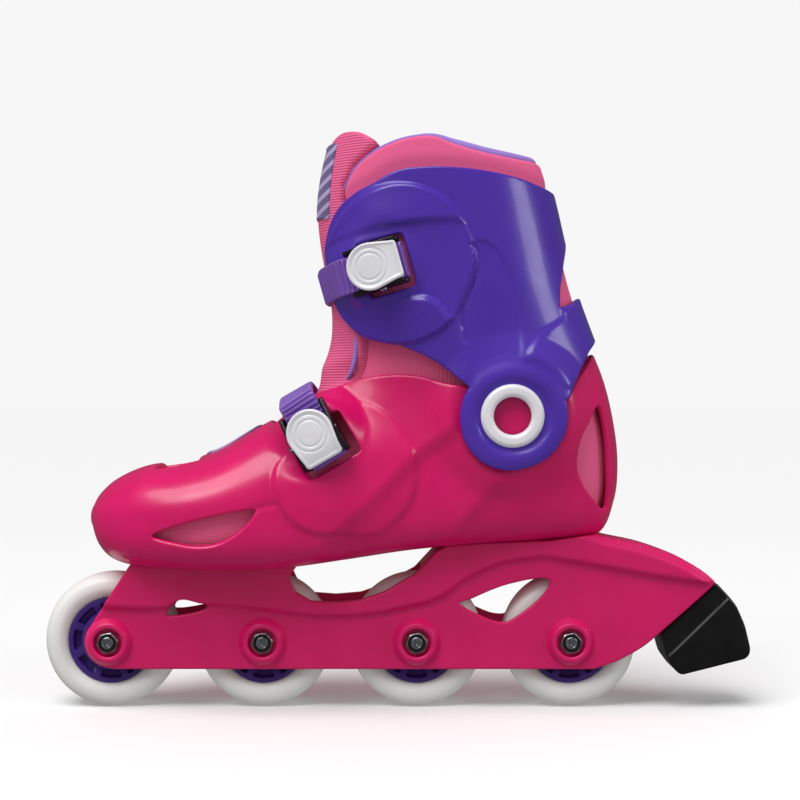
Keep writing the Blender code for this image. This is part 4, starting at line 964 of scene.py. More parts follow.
WINDOWS = {  # the hole under each buckle's hinge end, along and across the buckle
    "upper": ((-4, -12.9), (16.8, -12.9), (16.8, 11.9), (-4, 11.9)),
    "lower": ((-4, -12.6), (17.6, -12.6), (17.6, 14.2), (-4, 14.2)),
}


def shell_relief(p, seat):
    """The shell's skin over the plain form: the raised seat round the lower buckle on the lateral side,
    and on both sides a groove that runs on from the toe vent and two diagonal folds below the cuff's disc.

    A fold falls away as e to the power -(distance/16 mm) above its line, and as a smooth step 7.5 mm
    wide below it.
    """
    x, z = p[..., 0], p[..., 2]
    pod = inside(x, z, curve_through(LOWER_POD, 4, closed=True))
    dome = smoothstep(-1.2, 1.4, pod) * (1.3 + 1.1 * smoothstep(0, 14, pod))
    dome *= 1 - 0.5 * smoothstep(120, 140, z)
    height = np.where(p[..., 1] < 0, seat * dome, 0)
    for fold in (FOLD_A, FOLD_B):
        above = inside(x, z, [*fold, (-150, fold[-1][1]), (-150, 260), (fold[0][0], 260)]) > 0
        away = line_distance(x, z, fold)
        height += 2.0 * np.where(above, np.exp(-away / 16), 1 - smoothstep(-1, 7.5, away) * 1.02)
    height -= 0.5 * bell(line_distance(x, z, ((-64.8, 95.6), (-55, 97.4))), 1.6)
    away = np.hypot(x - PIVOT_X, z - PIVOT_Z)
    return height * smoothstep(23, 30, away) * smoothstep(0, 9, z - sole_z(x))


class SKATE_OT_shell(bpy.types.Operator):
    """Make the boot shell: a moulded wall with vents, a heel slot and a rolled rim"""

    bl_idname = "skate.shell"
    bl_label = "Boot shell"

    def execute(self, context):
        sizes = context.scene.skate_sizes
        u = np.concatenate([np.cos(np.linspace(math.pi, math.pi / 2, 9))[:-1],
                            np.linspace(0, 17, 17 * 13 + 1)])
        u, angle = np.meshgrid(u, around(150, 100), indexing="ij")
        plain = boot(u, angle)
        outer = pivot_flat(boot(u, angle), SHELL_FLAT_OUT)
        outer[..., 1] += np.sign(outer[..., 1]) * shell_relief(plain, sizes.pod / MM) * smoothstep(
            4, 20, np.abs(outer[..., 1]))
        outer = buckle_seat(outer, "lower")
        inner = pivot_flat(boot(u, angle, -SHELL_WALL), SHELL_FLAT_IN)
        x, y, z = (plain[..., k] for k in range(3))
        top_vent = np.where(z > 100, np.maximum(np.abs(x + 102.3) - 9.6, np.abs(y) - 19), 99)
        slot = np.where(y < 0, -inside(x, z, local_outline("lower", fillet(WINDOWS["lower"], 2.4))), 99)
        level = both(
            -inside(x, z, [*RIM_CURVE, (130, 420), (-160, 420)]),
            -inside(x, z, curve_through(TOE_VENT, 4, closed=True)),
            -inside(x, z, curve_through(HEEL_SLOT, 4, closed=True)), top_vent, slot)
        obj = wall("boot_shell", outer, inner, level, sizes.edge / MM, finish_of("pink polypropylene"),
                   home("shell"), wrap=True, pole=True)
        stand_for(obj, "shell_pink", "shell")
        return {"FINISHED"}


def cuff_outline():
    turn = np.radians(np.linspace(17, -214, 60))
    disc = np.stack([PIVOT_X + DISC_R * np.cos(turn), PIVOT_Z + DISC_R * np.sin(turn)], 1)
    return np.vstack([curve_through(CUFF_TOP, 4), CUFF_REAR, disc, curve_through(CUFF_FRONT, 4)])


def cuff_relief(p, seat):
    """The cuff's skin over the plain form: an oval pod that the strap's band crosses and a slit behind it
    on the lateral side, and on both sides an inset panel and a raised flap on the calf."""
    x, z = p[..., 0], p[..., 2]
    pod = (1 - np.hypot((x - POD_CENTRE[0]) / POD_R[0], (z - POD_CENTRE[1]) / POD_R[1])) * POD_R[0]
    band = inside(x, z, np.vstack([curve_through(BAND_TOP, 4), curve_through(BAND_LOW, 4)]))
    lateral = p[..., 1] < 0
    round_edge = smoothstep(-0.9, 1.1, pod)
    crescent = round_edge * (1 - smoothstep(-3.0, 1.0, band)) * (0.9 + 0.9 * smoothstep(0, 16, pod))
    height = np.where(lateral, seat * (0.5 * round_edge + crescent), 0)
    height -= np.where(lateral, 1.3 * bell(line_distance(x, z, curve_through(GROOVE, 5)), 1.3), 0)
    height -= 0.9 * smoothstep(-1.0, 1.6, inside(x, z, curve_through(MID_PANEL, 3, closed=True)))
    height += 1.1 * smoothstep(-1.2, 1.8, inside(x, z, curve_through(CALF_FLAP, 3, closed=True)))
    return height


class SKATE_OT_cuff(bpy.types.Operator):
    """Make the hinged cuff: a moulded wall round the ankle with a disc at each pivot"""

    bl_idname = "skate.cuff"
    bl_label = "Ankle cuff"

    def execute(self, context):
        sizes = context.scene.skate_sizes
        u, angle = np.meshgrid(np.linspace(9.5, 21.5, 12 * 21 + 1), around(210, 96), indexing="ij")
        plain = boot(u, angle)
        outer = pivot_flat(boot(u, angle, CUFF_OUTER), CUFF_FLAT_OUT)
        away = np.hypot(plain[..., 0] - PIVOT_X, plain[..., 2] - PIVOT_Z)
        ring = 1.5 * smoothstep(14.5, 18, away) * (1 - smoothstep(19.5, 25.5, away))
        lift = cuff_relief(plain, sizes.pod / MM) * smoothstep(23, 29, away) + ring
        outer[..., 1] += np.sign(outer[..., 1]) * lift * smoothstep(4, 20, np.abs(outer[..., 1]))
        outer = buckle_seat(outer, "upper")
        inner = pivot_flat(boot(u, angle, CUFF_INNER), CUFF_FLAT_IN)
        near = 1 - smoothstep(26, 28, away)
        inner[..., 1] += (np.copysign(CUFF_DISC_IN, inner[..., 1]) - inner[..., 1]) * near
        x, y, z = (plain[..., k] for k in range(3))
        slot = np.where(y < 0, -inside(x, z, local_outline("upper", fillet(WINDOWS["upper"], 2.4))), 99)
        level = both(inside(x, z, cuff_outline()), -inside(x, z, REAR_WINDOW), away - RIVET_HOLE_R, slot)
        obj = wall("ankle_cuff", outer, inner, level, sizes.edge / MM, finish_of("purple polypropylene"),
                   home("cuff"), wrap=True)
        stand_for(obj, "cuff_purple", "cuff")
        return {"FINISHED"}


def liner_offset(z):
    """The liner keeps clear of the shell low down and fills the cuff higher up."""
    low = -SHELL_WALL - 3 * GAP - 1.4
    return low + (-GAP - low) * smoothstep(173, 193, z)


def edge_path(line, offset):
    """Where a side-view line lies on the boot form: round the lateral side to the back, and forward
    again on the medial side, as points 0.8 mm apart."""
    line = curve_through(line, 24)
    reach = side_reach(line[:, 0], line[:, 1], offset)
    line, reach = line[reach > 0], reach[reach > 0]
    half = np.stack([line[:, 0], -reach, line[:, 1]], 1)
    end = half[-1] * (1, 0, 1) + (0.4, 0, 0)
    return even(np.vstack([half, end, half[::-1] * (1, -1, 1)]), 0.8)


def even(path, step):
    """The same path with its points step apart."""
    gone = np.concatenate([[0], np.cumsum(np.linalg.norm(np.diff(path, axis=0), axis=1))])
    at = np.linspace(0, gone[-1], int(gone[-1] / step) + 2)
    return np.stack([np.interp(at, gone, path[:, k]) for k in range(path.shape[1])], 1)


def eased(path, reach):
    """Each point becomes the mean of its neighbours within reach, twice. The ends stay."""
    kernel = np.ones(2 * reach + 1) / (2 * reach + 1)
    for _ in range(2):
        padded = np.pad(path, ((reach, reach), (0, 0)), mode="reflect", reflect_type="odd")
        path = np.stack([np.convolve(padded[:, k], kernel, "valid") for k in range(path.shape[1])], 1)
    return path


def soft(obj, fill):
    """A foam-padded piece, with its transform baked into its mesh."""
    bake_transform(obj)
    return obj if fill else obj


class SKATE_OT_liner(bpy.types.Operator):
    """Make the padded liner with its collar, its lining and the tape that binds its edges"""

    bl_idname = "skate.liner"
    bl_label = "Liner"

    def execute(self, context):
        sizes = context.scene.skate_sizes
        u = np.concatenate([1.2 + np.cos(np.linspace(math.pi, math.pi / 2, 7))[:-1],
                            np.linspace(1.2, 21.6, 221)])
        u, angle = np.meshgrid(u, around(120, 90), indexing="ij")
        plain = boot(u, angle, 0.0, 1.2, 8.0)
        x, y, z = (plain[..., k] for k in range(3))
        proud = np.where(z > 225, 1.3 * smoothstep(0.5, 7, -inside(x, z, cuff_outline())), 0)
        offset = liner_offset(z)
        outer = boot(u, angle, offset + proud, 1.2, 8.0)
        inner = boot(u, angle, offset - LINER_WALL + 0.6 * smoothstep(235, 250, z), 1.2, 8.0)
        over = [*curve_through(COLLAR_TOP, 5), (100, 420), (-60, 420)]
        throat = [*curve_through(THROAT, 4), (-90, 110), (-90, 290), (-25, 290)]
        level = both(-inside(x, z, over), -inside(x, z, throat))
        uv = np.stack([angle * 38.0, u * 14.0], -1)
        obj = wall("boot_liner", outer, inner, level, 2.2, finish_of("liner knit"), None, wrap=True,
                   pole=True, steps=5, uv=uv, period=TAU * 38.0, lining=finish_of("binding tape"), smooth=80)
        soft(stand_for(obj, "liner_pink", "liner"), 0.6)
        low = liner_offset(250.0) - 2.4
        collar = edge_path(COLLAR_TOP[2:], low) + (0, 0, 0.1)
        tape = sizes.piping / MM
        collar = eased(collar, 3)
        parts = [tube(collar, tape * (0.7 + 1.2 * smoothstep(8, 34, collar[:, 0])), 14)]
        flap = curve_through(THROAT[:9], 12)
        for side in (-1, 1):
            low = liner_offset(flap[:, 1]) - 1.6
            proud = 1.4 * (1 - smoothstep(168, 176, flap[:, 1])) - 1.2
            reach = side_reach(flap[:, 0], flap[:, 1], low + (proud - low) * smoothstep(151, 160, flap[:, 1]))
            path = np.stack([flap[:, 0] + 0.5, side * reach, flap[:, 1]], 1)
            parts.append(tube(eased(even(path, 0.8), 4), tape * 0.8, 12))
        points, faces = together(parts)
        along = np.stack([points[:, 0] + points[:, 2], points[:, 1]], 1)
        tape_piece = put("liner_binding", points, faces, finish_of("binding tape"), None, 60, uv=along)
        soft(tape_piece, 0)
        return {"FINISHED"}


class SKATE_OT_tongue(bpy.types.Operator):
    """Make the padded tongue and the woven label on it"""

    bl_idname = "skate.tongue"
    bl_label = "Tongue"

    def execute(self, context):
        u, angle = np.meshgrid(np.linspace(4.8, 22, 180), np.linspace(-1.75, 1.75, 110), indexing="ij")
        plain = boot(u, angle)
        x, z = plain[..., 0], plain[..., 2]
        rise = z - np.interp(x, RIM_CURVE[:, 0], RIM_CURVE[:, 1])
        offset = (-SHELL_WALL - 4 * GAP) * (1 - smoothstep(3, 12, rise))
        outer, inner = boot(u, angle, offset), boot(u, angle, offset - 7)
        back = [(px - 0.6 + 3.0 * float(smoothstep(200, 186, pz)), pz + 0.5) for px, pz in THROAT[:-1]]
        back.append((-62.6, 122.1))
        collar = [(-25.2, 244), (-20.4, 253.3), (-12.2, 260.2), (-8.5, 263)]
        front = [(-60, 266), (-80, 160), (-67, 127)]
        outline = [*curve_through(back[::-1], 4), *collar, *curve_through(TONGUE_TOP[::-1], 5), *front]
        uv = np.stack([angle * 38.0, u * 14.0], -1)
        obj = wall("boot_tongue", outer, inner, inside(x, z, outline), 2.2, finish_of("tongue rib knit"),
                   None, steps=5, smooth=80, uv=uv, lining=finish_of("binding tape"))
        soft(stand_for(obj, "liner_pink", "tongue"), 0.6)
        for name, node, low, high, half, lift in (
                ("tongue_label", "tongue_badge", 17.4, 20.7, 30, 0.05),
                ("instep_label", "instep_badge", 4.6, 6.3, 11, 0.1)):
            turn = np.radians(np.linspace(-half - 2, half + 2, 40))
            u, angle = np.meshgrid(np.linspace(low, high, 70), turn, indexing="ij")
            a, c = (u - (low + high) / 2) * 11.0, np.degrees(angle) * 0.66
            size = np.array(((high - low) * 5.5 - 0.5, half * 0.66))
            corner = 2.5
            dx, dy = np.abs(a) - size[0] + corner, np.abs(c) - size[1] + corner
            beyond = np.hypot(np.maximum(dx, 0), np.maximum(dy, 0))
            level = corner - beyond - np.minimum(np.maximum(dx, dy), 0)
            hem = 0.35 * bell(level - 1.2, 0.5)
            label = wall(name, boot(u, angle, lift + 0.5 + hem), boot(u, angle, lift - 0.3), level, 0.3,
                         finish_of("woven label"), home(node))
            stand_for(label, "strap_purple", node)
        return {"FINISHED"}


# --- straps and buckles ------------------------------------------------------------------------------
def strap_gap(which, y):
    """How far the strap's inner face stays off the boot form, at a distance y from the middle."""
    if which == "upper":
        return 1.7 + np.where(y > 0, 3.2, 4.6) * smoothstep(12, 20, np.abs(y))
    return np.where(y > 0, 2.6, 2.6 + 1.6 * smoothstep(8, 20, -y))


def strap_path(which):
    """The strap's centre line in its own plane, as (along, y) from the far anchor to the buckle.

    Rays from behind the boot meet the grown form by halving. The tight line over those points keeps only
    its convex side, and then runs straight through the buckle.
    """
    b = BUCKLES[which]
    centre, along, _, out = buckle_axes(which)
    slope = math.radians(b["slope"])
    dx, dz = math.cos(slope), math.sin(slope)
    angle = np.radians(100 - 195 * np.arange(31) / 30)
    low, high = np.zeros(31), np.full(31, 120.0)
    for _ in range(24):
        r = (low + high) / 2
        s, y = b["back"] - r * np.cos(angle), r * np.sin(angle)
        grown = strap_gap(which, y) + STRAP_THICK / 2
        within = np.abs(y) < side_reach(b["x"] + dx * s, b["z"] + dz * s, grown)
        low, high = np.where(within, r, low), np.where(within, high, r)
    found = np.stack([b["back"] - low * np.cos(angle), low * np.sin(angle)], 1)
    run = np.array((-16.5, -8, 0, 8, 15.5))[:, None]
    seat = centre + along * run + out * (2.0 + STRAP_THICK / 2)
    seat = np.stack([(seat[:, 0] - b["x"]) * dx + (seat[:, 2] - b["z"]) * dz, seat[:, 1]], 1)
    wrapped = [p for p in found if (p[1] > 0 or p[0] < seat[0, 0] - 1) and p[0] <= b["anchor"]]
    kept = []
    for p in wrapped + [seat[0]]:
        while len(kept) >= 2:
            (ax, ay), (bx, by) = kept[-2], kept[-1]
            if (bx - ax) * (p[1] - ay) - (by - ay) * (p[0] - ax) > 0:
                break
            kept.pop()
        kept.append(p)
    return np.vstack([kept, seat[1:]])


class SKATE_OT_straps(bpy.types.Operator):
    """Make the two toothed straps, from their rivets on the medial side to the buckles"""

    bl_idname = "skate.straps"
    bl_label = "Straps"

    def execute(self, context):
        pitch = context.scene.skate_sizes.strap_rib / MM
        for which, b in BUCKLES.items():
            slope = math.radians(b["slope"])
            _, _, across, _ = buckle_axes(which)
            line = eased(even(strap_path(which), 0.35), 9)
            path = np.stack([b["x"] + math.cos(slope) * line[:, 0], line[:, 1],
                             b["z"] + math.sin(slope) * line[:, 0]], 1)
            tangent = unit(np.gradient(path, axis=0))
            level = np.array((-math.sin(slope), 0, math.cos(slope)))
            share = 1 - smoothstep(-30, -16, path[:, 1:2])
            side = level + (across - level) * share
            side = unit(side - tangent * (side * tangent).sum(1, keepdims=True))
            out = np.cross(side, tangent)
            half = b["width"] / 2
            ring = fillet([(-half, -0.8), (1.4 - half, -1.1), (half - 1.4, -1.1), (half, -0.8), (half, 1.1),
                           (-half, 1.1)], 0.5, 3)
            ring = even(np.vstack([ring, ring[:1]]), 0.9)[:-1]
            gone = np.arange(len(path)) * np.linalg.norm(path[1] - path[0])
            tooth = smoothstep(-0.6, 0.5, np.sin(TAU * gone / pitch))
            top = smoothstep(0.6, 1.05, -ring[:, 1]) * (np.abs(ring[:, 0]) < half - 1.0)
            profile = np.repeat(ring[None], len(path), 0)
            profile[..., 1] -= top[None] * (0.9 * tooth[:, None] - 0.65)
            points, faces = sweep(path, out, side, profile)
            obj = put(f"{which}_strap_band", points, faces, finish_of("strap polyurethane"),
                      home(f"{which}_strap"), 35)
            stand_for(obj, "strap_purple", f"{which}_strap")
            dress(f"{which}_strap_rivet", "zinc steel")
        return {"FINISHED"}


class SKATE_OT_buckles(bpy.types.Operator):
    """Make the two buckles: black bases, white levers, steel pins and springs"""

    bl_idname = "skate.buckles"
    bl_label = "Buckles"

    def execute(self, context):
        for which, b in BUCKLES.items():
            centre, along, across, out = buckle_axes(which)
            flat = (centre, along, across, out)
            side = (centre, along, out, across)
            rail = b["width"] / 2 + 0.7
            black, white = finish_of("painted steel"), finish_of("lever ABS")
            body, press = home(f"{which}_buckle_base"), home(f"{which}_buckle_lever")
            edge = rail + 1.9
            box = ((-12.4, -edge), (14.4, -edge), (14.4, edge), (-12.4, edge))
            floor = plate("floor", box, GAP, 1.7, black, body, flat, 0.4, 1.2)
            cheek = ((-12.4, 0.4), (14.4, 0.4), (14.4, 5.3), (8, 8.0), (0.5, 8.0), (-12.4, 4.2))
            rails = [plate(f"rail_{k}", fillet(cheek, 1.4), *sorted((k * rail, k * edge)), black, body,
                           side, 0.5)
                     for k in (-1, 1)]
            joined(f"{which}_buckle_frame", [floor, *rails], "buckle_black", f"{which}_buckle_base")
            half = b["width"] / 2 - 0.1
            leave = math.atan2(half, LEVER_END) + math.acos(PAD_R / math.hypot(half, LEVER_END))
            turn = np.linspace(leave, TAU - leave, 46)
            pad = np.stack([PAD_R * np.cos(turn), PAD_R * np.sin(turn)], 1)
            square = (pad[-1], (LEVER_END, -half), (LEVER_END, half), pad[0])
            pad = np.vstack([pad, fillet(square, 1.2)[5:15]])

            def dished(p, q):
                """Flat, with a rim that stands up a little and two fine rings round the middle."""
                r = np.hypot(p, q)
                rim = 0.4 * (1 - smoothstep(0.9, 1.9, inside(p, q, pad)))
                fall = 0.07 * np.maximum(p - 7, 0) ** 1.5
                rings = 0.3 * bell(r - 8.3, 0.45) + 0.3 * bell(r - 6.0, 0.45)
                return 10.5 + rim - rings + 0.15 * bell(r, 5) - fall

            top = plate("pad", pad, 8.6, dished, white, press, flat, 0.9, 0.28, smooth=60)
            outer = rail - 0.4
            lug = ((-0.4, 9.6), (0.4, 5.2), (5.0, 4.9), (13.4, 7.2), (13.6, 9.6))
            lugs = [plate(f"lug_{k}", fillet(lug, 1.0), *sorted((k * (outer - 2.4), k * outer)), white, press,
                          side, 0.4) for k in (-1, 1)]
            lip = plate("lip", ((8.5, 9.6), (10.5, 4.7), (12.0, 4.7), (13.2, 9.6)), 0.6 - outer, outer - 0.6,
                        white, press, side, 0.3)
            joined(f"{which}_lever_cap", [top, *lugs, lip], "lever_white", f"{which}_buckle_lever")
            steel = finish_of("zinc steel")
            axle = centre + along * PIN_AT[0] + out * PIN_AT[1]
            turned = [(0, -edge - 1.45), (1.0, -edge - 1.35), (1.7, -edge - 0.8), (1.75, -edge - 0.25),
                      (1.0, -edge - 0.2), (1.0, edge + 0.2), (0, edge + 0.2)]
            points, faces = lathe(even(np.array(turned, float), 0.35)[::-1], 28)
            points = axle + points[:, :1] * along + points[:, 1:2] * across + points[:, 2:] * out
            pin = put(f"{which}_hinge_pin", points, [faces], steel, body, 40, weld=0.002)
            stand_for(pin, "steel", f"{which}_buckle_pin")
            t = np.linspace(0, 1, 150)[:, None]
            turn = TAU * 5 * t
            coil = np.concatenate([1.55 * np.cos(turn), 5.2 * (t - 0.5), 1.55 * np.sin(turn)], 1)
            coil = axle + coil[:, :1] * along + coil[:, 1:2] * across + coil[:, 2:] * out
            points, faces = tube(coil, 0.34, 8)
            spring = put(f"{which}_lever_spring", points, faces, steel, body, 60)
            stand_for(spring, "steel", f"{which}_buckle_spring")
        return {"FINISHED"}


class SKATE_OT_pivots(bpy.types.Operator):
    """Make the cuff's two pivots: a bush through the shell and a white ring on the cuff"""

    bl_idname = "skate.pivots"
    bl_label = "Ankle pivots"

    def execute(self, context):
        bush = [(0, 36.7), (10.2, 36.7), (10.2, 37.5), (8.2, 37.5), (8.2, 39.4), (0, 39.4)]
        ring = [(8.5, 41.2), (14.4, 43.0), (14.4, 44.4), (13.0, 45.7), (9.9, 45.7), (8.5, 44.4)]
        for side, label in ((-1, "lateral"), (1, "medial")):
            # The bush takes a darkened pink: painted shade of the recess within the white ring
            for name, node, profile, finish, slot in (
                    ("pivot_bush", "pivot_rivet", bush, "bush polypropylene", "cuff_purple"),
                    ("pivot_cap", "pivot_ring", ring, "lever ABS", "lever_white")):
                corners = fillet(profile, 1.0, 5)
                corners[:, 0] = np.maximum(corners[:, 0], 0)
                points, faces = lathe(corners * (1, side), 96)
                obj = put(f"{name}_{label}", points + (PIVOT_X, 0, PIVOT_Z), [faces], finish_of(finish),
                          home(f"{node}_{label}"), 40, weld=0.002)
                stand_for(obj, slot, f"{node}_{label}")
        return {"FINISHED"}


# --- chassis, brake and wheels -----------------------------------------------------------------------
FRONT_ARM_CURVE = np.vstack([FRONT_ARM[:1], curve_through(FRONT_ARM[1:12], 4), FRONT_ARM[12:]])
REAR_ARM_CURVE = np.vstack([REAR_ARM, (88, 90)])


def plate_skin(x, z):
    """Height of a side plate's outer face: the plain plate, and the raised arms with a soft flank."""
    arms = np.maximum(inside(x, z, FRONT_ARM_CURVE), inside(x, z, REAR_ARM_CURVE))
    return PLATE_OUT + (ARM_OUT - PLATE_OUT) * smoothstep(-0.4, 3.0, arms)


class SKATE_OT_chassis(bpy.types.Operator):
    """Make the chassis: two side plates with openings, the deck between them and the axle bosses"""

    bl_idname = "skate.chassis"
    bl_label = "Chassis"

    def execute(self, context):
        cell = context.scene.skate_sizes.cell / MM
        pink = finish_of("chassis polypropylene")
        body = home("frame")
        x, z = flat_grid(FRAME_OUTLINE, cell)
        outline = np.vstack([FRAME_OUTLINE[:2], curve_through(FRAME_OUTLINE[2:7], 3),
                             curve_through(FRAME_OUTLINE[7:18], 3), FRAME_OUTLINE[18:]])
        front, middle, rear = OPENINGS
        rounded = (curve_through(front, 3, closed=True), middle, curve_through(rear, 3, closed=True))
        holes = [-inside(x, z, o) for o in rounded]
        under = sole_z(x) + 1.2 - z
        bores = [np.hypot(x - at, z - AXLE_Z) - 6.2 for at in AXLE_X]
        level = both(inside(x, z, outline), under, *holes, *bores)
        face = plate_skin(x, z)
        for side, label in ((-1, "lateral"), (1, "medial")):
            outer = np.stack([x, side * face, z], -1)
            inner = np.stack([x, np.full(x.shape, side * PLATE_IN), z], -1)
            obj = wall(f"chassis_plate_{label}", outer, inner, level, 0.9, pink, body)
            stand_for(obj, "shell_pink", "frame")
        x, z = flat_grid(FRAME_OUTLINE, 1.6)
        wells = [np.hypot(x - at, z - AXLE_Z) - 33.5 for at in AXLE_X]
        channel = np.maximum(np.maximum(-138 - x, x - 114), z - 52)
        holes = [-inside(x, z, o) for o in OPENINGS]
        level = both(inside(x, z, outline), sole_z(x) + 1.0 - z, channel, *wells, *holes)
        outer = np.stack([x, np.full(x.shape, -PLATE_IN - 0.6), z], -1)
        obj = wall("chassis_deck", outer, outer * (1, -1, 1), level, 0.5, pink, body)
        stand_for(obj, "shell_pink", "frame")
        boss = [(6.5, 15.2), (6.5, 19.3), (7.2, 20.0), (8.6, 20.0), (9.2, 19.4), (11.4, 16.4), (11.4, 15.2)]
        seat = [(3.15, 13.6), (3.15, 16.1), (7.4, 16.1), (7.4, 13.6)]
        parts = []
        for at in AXLE_X:
            for side in (-1, 1):
                for profile in (boss, seat):
                    points, faces = lathe(fillet(profile, 0.6, 3) * (1, side), 72)
                    if side < 0:
                        faces = faces[:, ::-1]
                    parts.append((points + (at, 0, AXLE_Z), faces))
        points, faces = together(parts)
        obj = put("axle_bosses", points, faces, pink, body, 50)
        stand_for(obj, "shell_pink", "frame")
        for node in ("frame_bolt_front", "frame_bolt_rear", "brake_screw"):
            dress(node, "zinc steel")
        dress("footbed", "liner knit")
        return {"FINISHED"}


class SKATE_OT_brake(bpy.types.Operator):
    """Make the rubber heel brake, with its narrower upper part"""

    bl_idname = "skate.brake"
    bl_label = "Heel brake"

    def execute(self, context):
        x, z = flat_grid(BRAKE_OUTLINE, 0.7)
        level = inside(x, z, fillet(BRAKE_OUTLINE, 2.0, 3))
        (ax, az), (bx, bz) = BRAKE_STEP
        length = math.hypot(bx - ax, bz - az)
        below = ((z - az) * (bx - ax) - (x - ax) * (bz - az)) / length
        half = 14.6 + 0.9 * smoothstep(-0.6, 0.4, below) - 1.6 * smoothstep(6, 22, -below)
        outer = np.stack([x, -half, z], -1)
        obj = wall("brake_block", outer, outer * (1, -1, 1), level, 1.3, finish_of("brake rubber"),
                   home("brake_pad"), steps=4)
        stand_for(obj, "brake_black", "brake_pad")
        return {"FINISHED"}


def spokes(r, y, t):
    """Pockets between eight spokes on both faces of the hub's web."""
    share = smoothstep(14.0, 14.8, r) * (1 - smoothstep(17.0, 17.8, r)) * smoothstep(5, 7, np.abs(y))
    return -np.sign(y) * 3.4 * share * smoothstep(-0.75, -0.45, np.cos(8 * t))


class SKATE_OT_wheels(bpy.types.Operator):
    """Make the four wheels: cast tyres, hubs, bearings, spacers, axle bolts and lock nuts"""

    bl_idname = "skate.wheels"
    bl_label = "Wheels"

    def execute(self, context):
        tread = fillet([(20.0, -9.6), (24.2, -12.0), (28.2, -11.2), (30.4, -8.8), (31.5, -5.2), (31.5, 5.2),
                        (30.4, 8.8), (28.2, 11.2), (24.2, 12.0), (20.0, 9.6)], 2.6, 5)
        hub = fillet([(11.2, -12), (13.4, -12), (13.8, -8.5), (17.6, -9.6), (20.1, -9.8), (20.1, 9.8),
                      (17.6, 9.6), (13.8, 8.5), (13.4, 12), (11.2, 12), (11.2, 4.8), (9.2, 4.6),
                      (9.2, -4.6), (11.2, -4.8)], 0.5, 3)
        race = fillet([(4.1, 5.0), (10.9, 5.0), (10.9, 12.0), (9.9, 12.0), (9.5, 11.3), (5.9, 11.3),
                       (5.5, 12.0), (4.1, 12.0)], 0.3, 2)
        hexagon = np.radians(np.arange(6) * 60 + 12)
        hexagon = np.stack([5.3 * np.cos(hexagon), 5.3 * np.sin(hexagon)], 1)
        ring = np.stack([np.cos(np.radians(np.arange(48) * 7.5)), np.sin(np.radians(np.arange(48) * 7.5))], 1)
        for number, x in enumerate(AXLE_X, start=1):
            at = np.array((x, 0, AXLE_Z))
            for name, node, profile, count, wrinkle, finish, slot in (
                    ("tyre_ring_{}", "tyre_{}", tread, 144, None, "cast polyurethane", "tyre_white"),
                    ("hub_core_{}", "hub_{}", hub, 192, spokes, "hub nylon", "hub_purple"),
                    ("race_{}_left", "bearing_{}_left", race * (1, -1), 64, None, "dark steel", "steel"),
                    ("race_{}_right", "bearing_{}_right", race, 64, None, "dark steel", "steel")):
                name, node = name.format(number), node.format(number)
                step = even(np.vstack([profile, profile[:1]]), 0.5)[:-1] if wrinkle else profile
                points, faces = lathe(step, count, wrinkle)
                obj = put(name, points + at, [faces], finish_of(finish), home(node), 40)
                stand_for(obj, slot, node)
            dress(f"axle_spacer_{number}", "zinc steel")
            steel = finish_of("zinc steel")
            body = home(f"axle_bolt_{number}")

            def crossed(p, q):
                """A bolt end with a cross-shaped recess, cut 0.8 mm deep."""
                arm = np.minimum(np.maximum(np.abs(p + q) - 0.7, np.abs(p - q) - 2.6),
                                 np.maximum(np.abs(p - q) - 0.7, np.abs(p + q) - 2.6))
                return 20.95 - 0.9 * (1 - smoothstep(-0.15, 0.25, arm)) - 0.05 * np.hypot(p, q)

            def socket(p, q):
                """A flat head with a hexagon socket, cut 1.8 mm deep."""
                return 19.25 - 1.8 * smoothstep(-0.1, 0.25, inside(p, q, hexagon * 0.42))

            lateral = (at, (1, 0, 0), (0, 0, 1), (0, -1, 0))
            medial = (at, (1, 0, 0), (0, 0, 1), (0, 1, 0))
            end = plate("end", ring * 2.85, -16, crossed, steel, body, lateral, 0.35, 0.2)
            head = plate("head", ring * 5.3, 16.3, socket, steel, body, medial, 0.6, 0.3)
            joined(f"axle_screw_{number}", [end, head], "steel", f"axle_bolt_{number}")
            nut = plate("nut", hexagon, 16.3, lambda p, q: 20.4 - 0.5 * smoothstep(4.3, 5.3, np.hypot(p, q)),
                        steel, body, lateral, 0.25, 0.25, hole=lambda p, q: np.hypot(p, q) - 3.9)
            stand_for(nut, "steel", f"axle_nut_{number}")
            nut.name = f"lock_nut_{number}"
            ring_profile = fillet([(2.9, -16.6), (4.2, -16.6), (4.2, -20.6), (2.9, -20.3)], 0.3, 3)
            collar, faces = lathe(ring_profile, 48)
            obj = put(f"nylon_collar_{number}", collar + at, [faces], finish_of("painted steel"), body, 40)
        return {"FINISHED"}


# --- stage ------------------------------------------------------------------------------------------
FLOOR_REACH = 30.0  # metres from the middle to each side
AMBIENT, BACKDROP, REFLECTED = 0.42, 0.93, 0.1  # the studio's light on the skate, to the eye, in gloss
OVERHEAD_STRENGTH, OVERHEAD_SPREAD = 1.9, 42  # the large lamp above, and its spread in degrees
OVERHEAD_FROM = (-0.3, -0.42, 1)
CAMERA_X, CAMERA_BACK, CAMERA_Z = 1.7, 785, 144.7  # millimetres, back from the chassis's middle plane
LENS, SENSOR = 74, 36


def area_light(name, place, target, size, watts, colour=(1, 1, 1)):
    light = bpy.data.lights.new(name, "AREA")
    light.shape, light.size, light.energy, light.color = "DISK", size, watts, colour
    obj = bpy.data.objects.new(name, light)
    obj.location = place
    obj.rotation_euler = (Vector(target) - Vector(place)).to_track_quat("-Z", "Y").to_euler()
    bpy.context.scene.collection.objects.link(obj)
    return obj


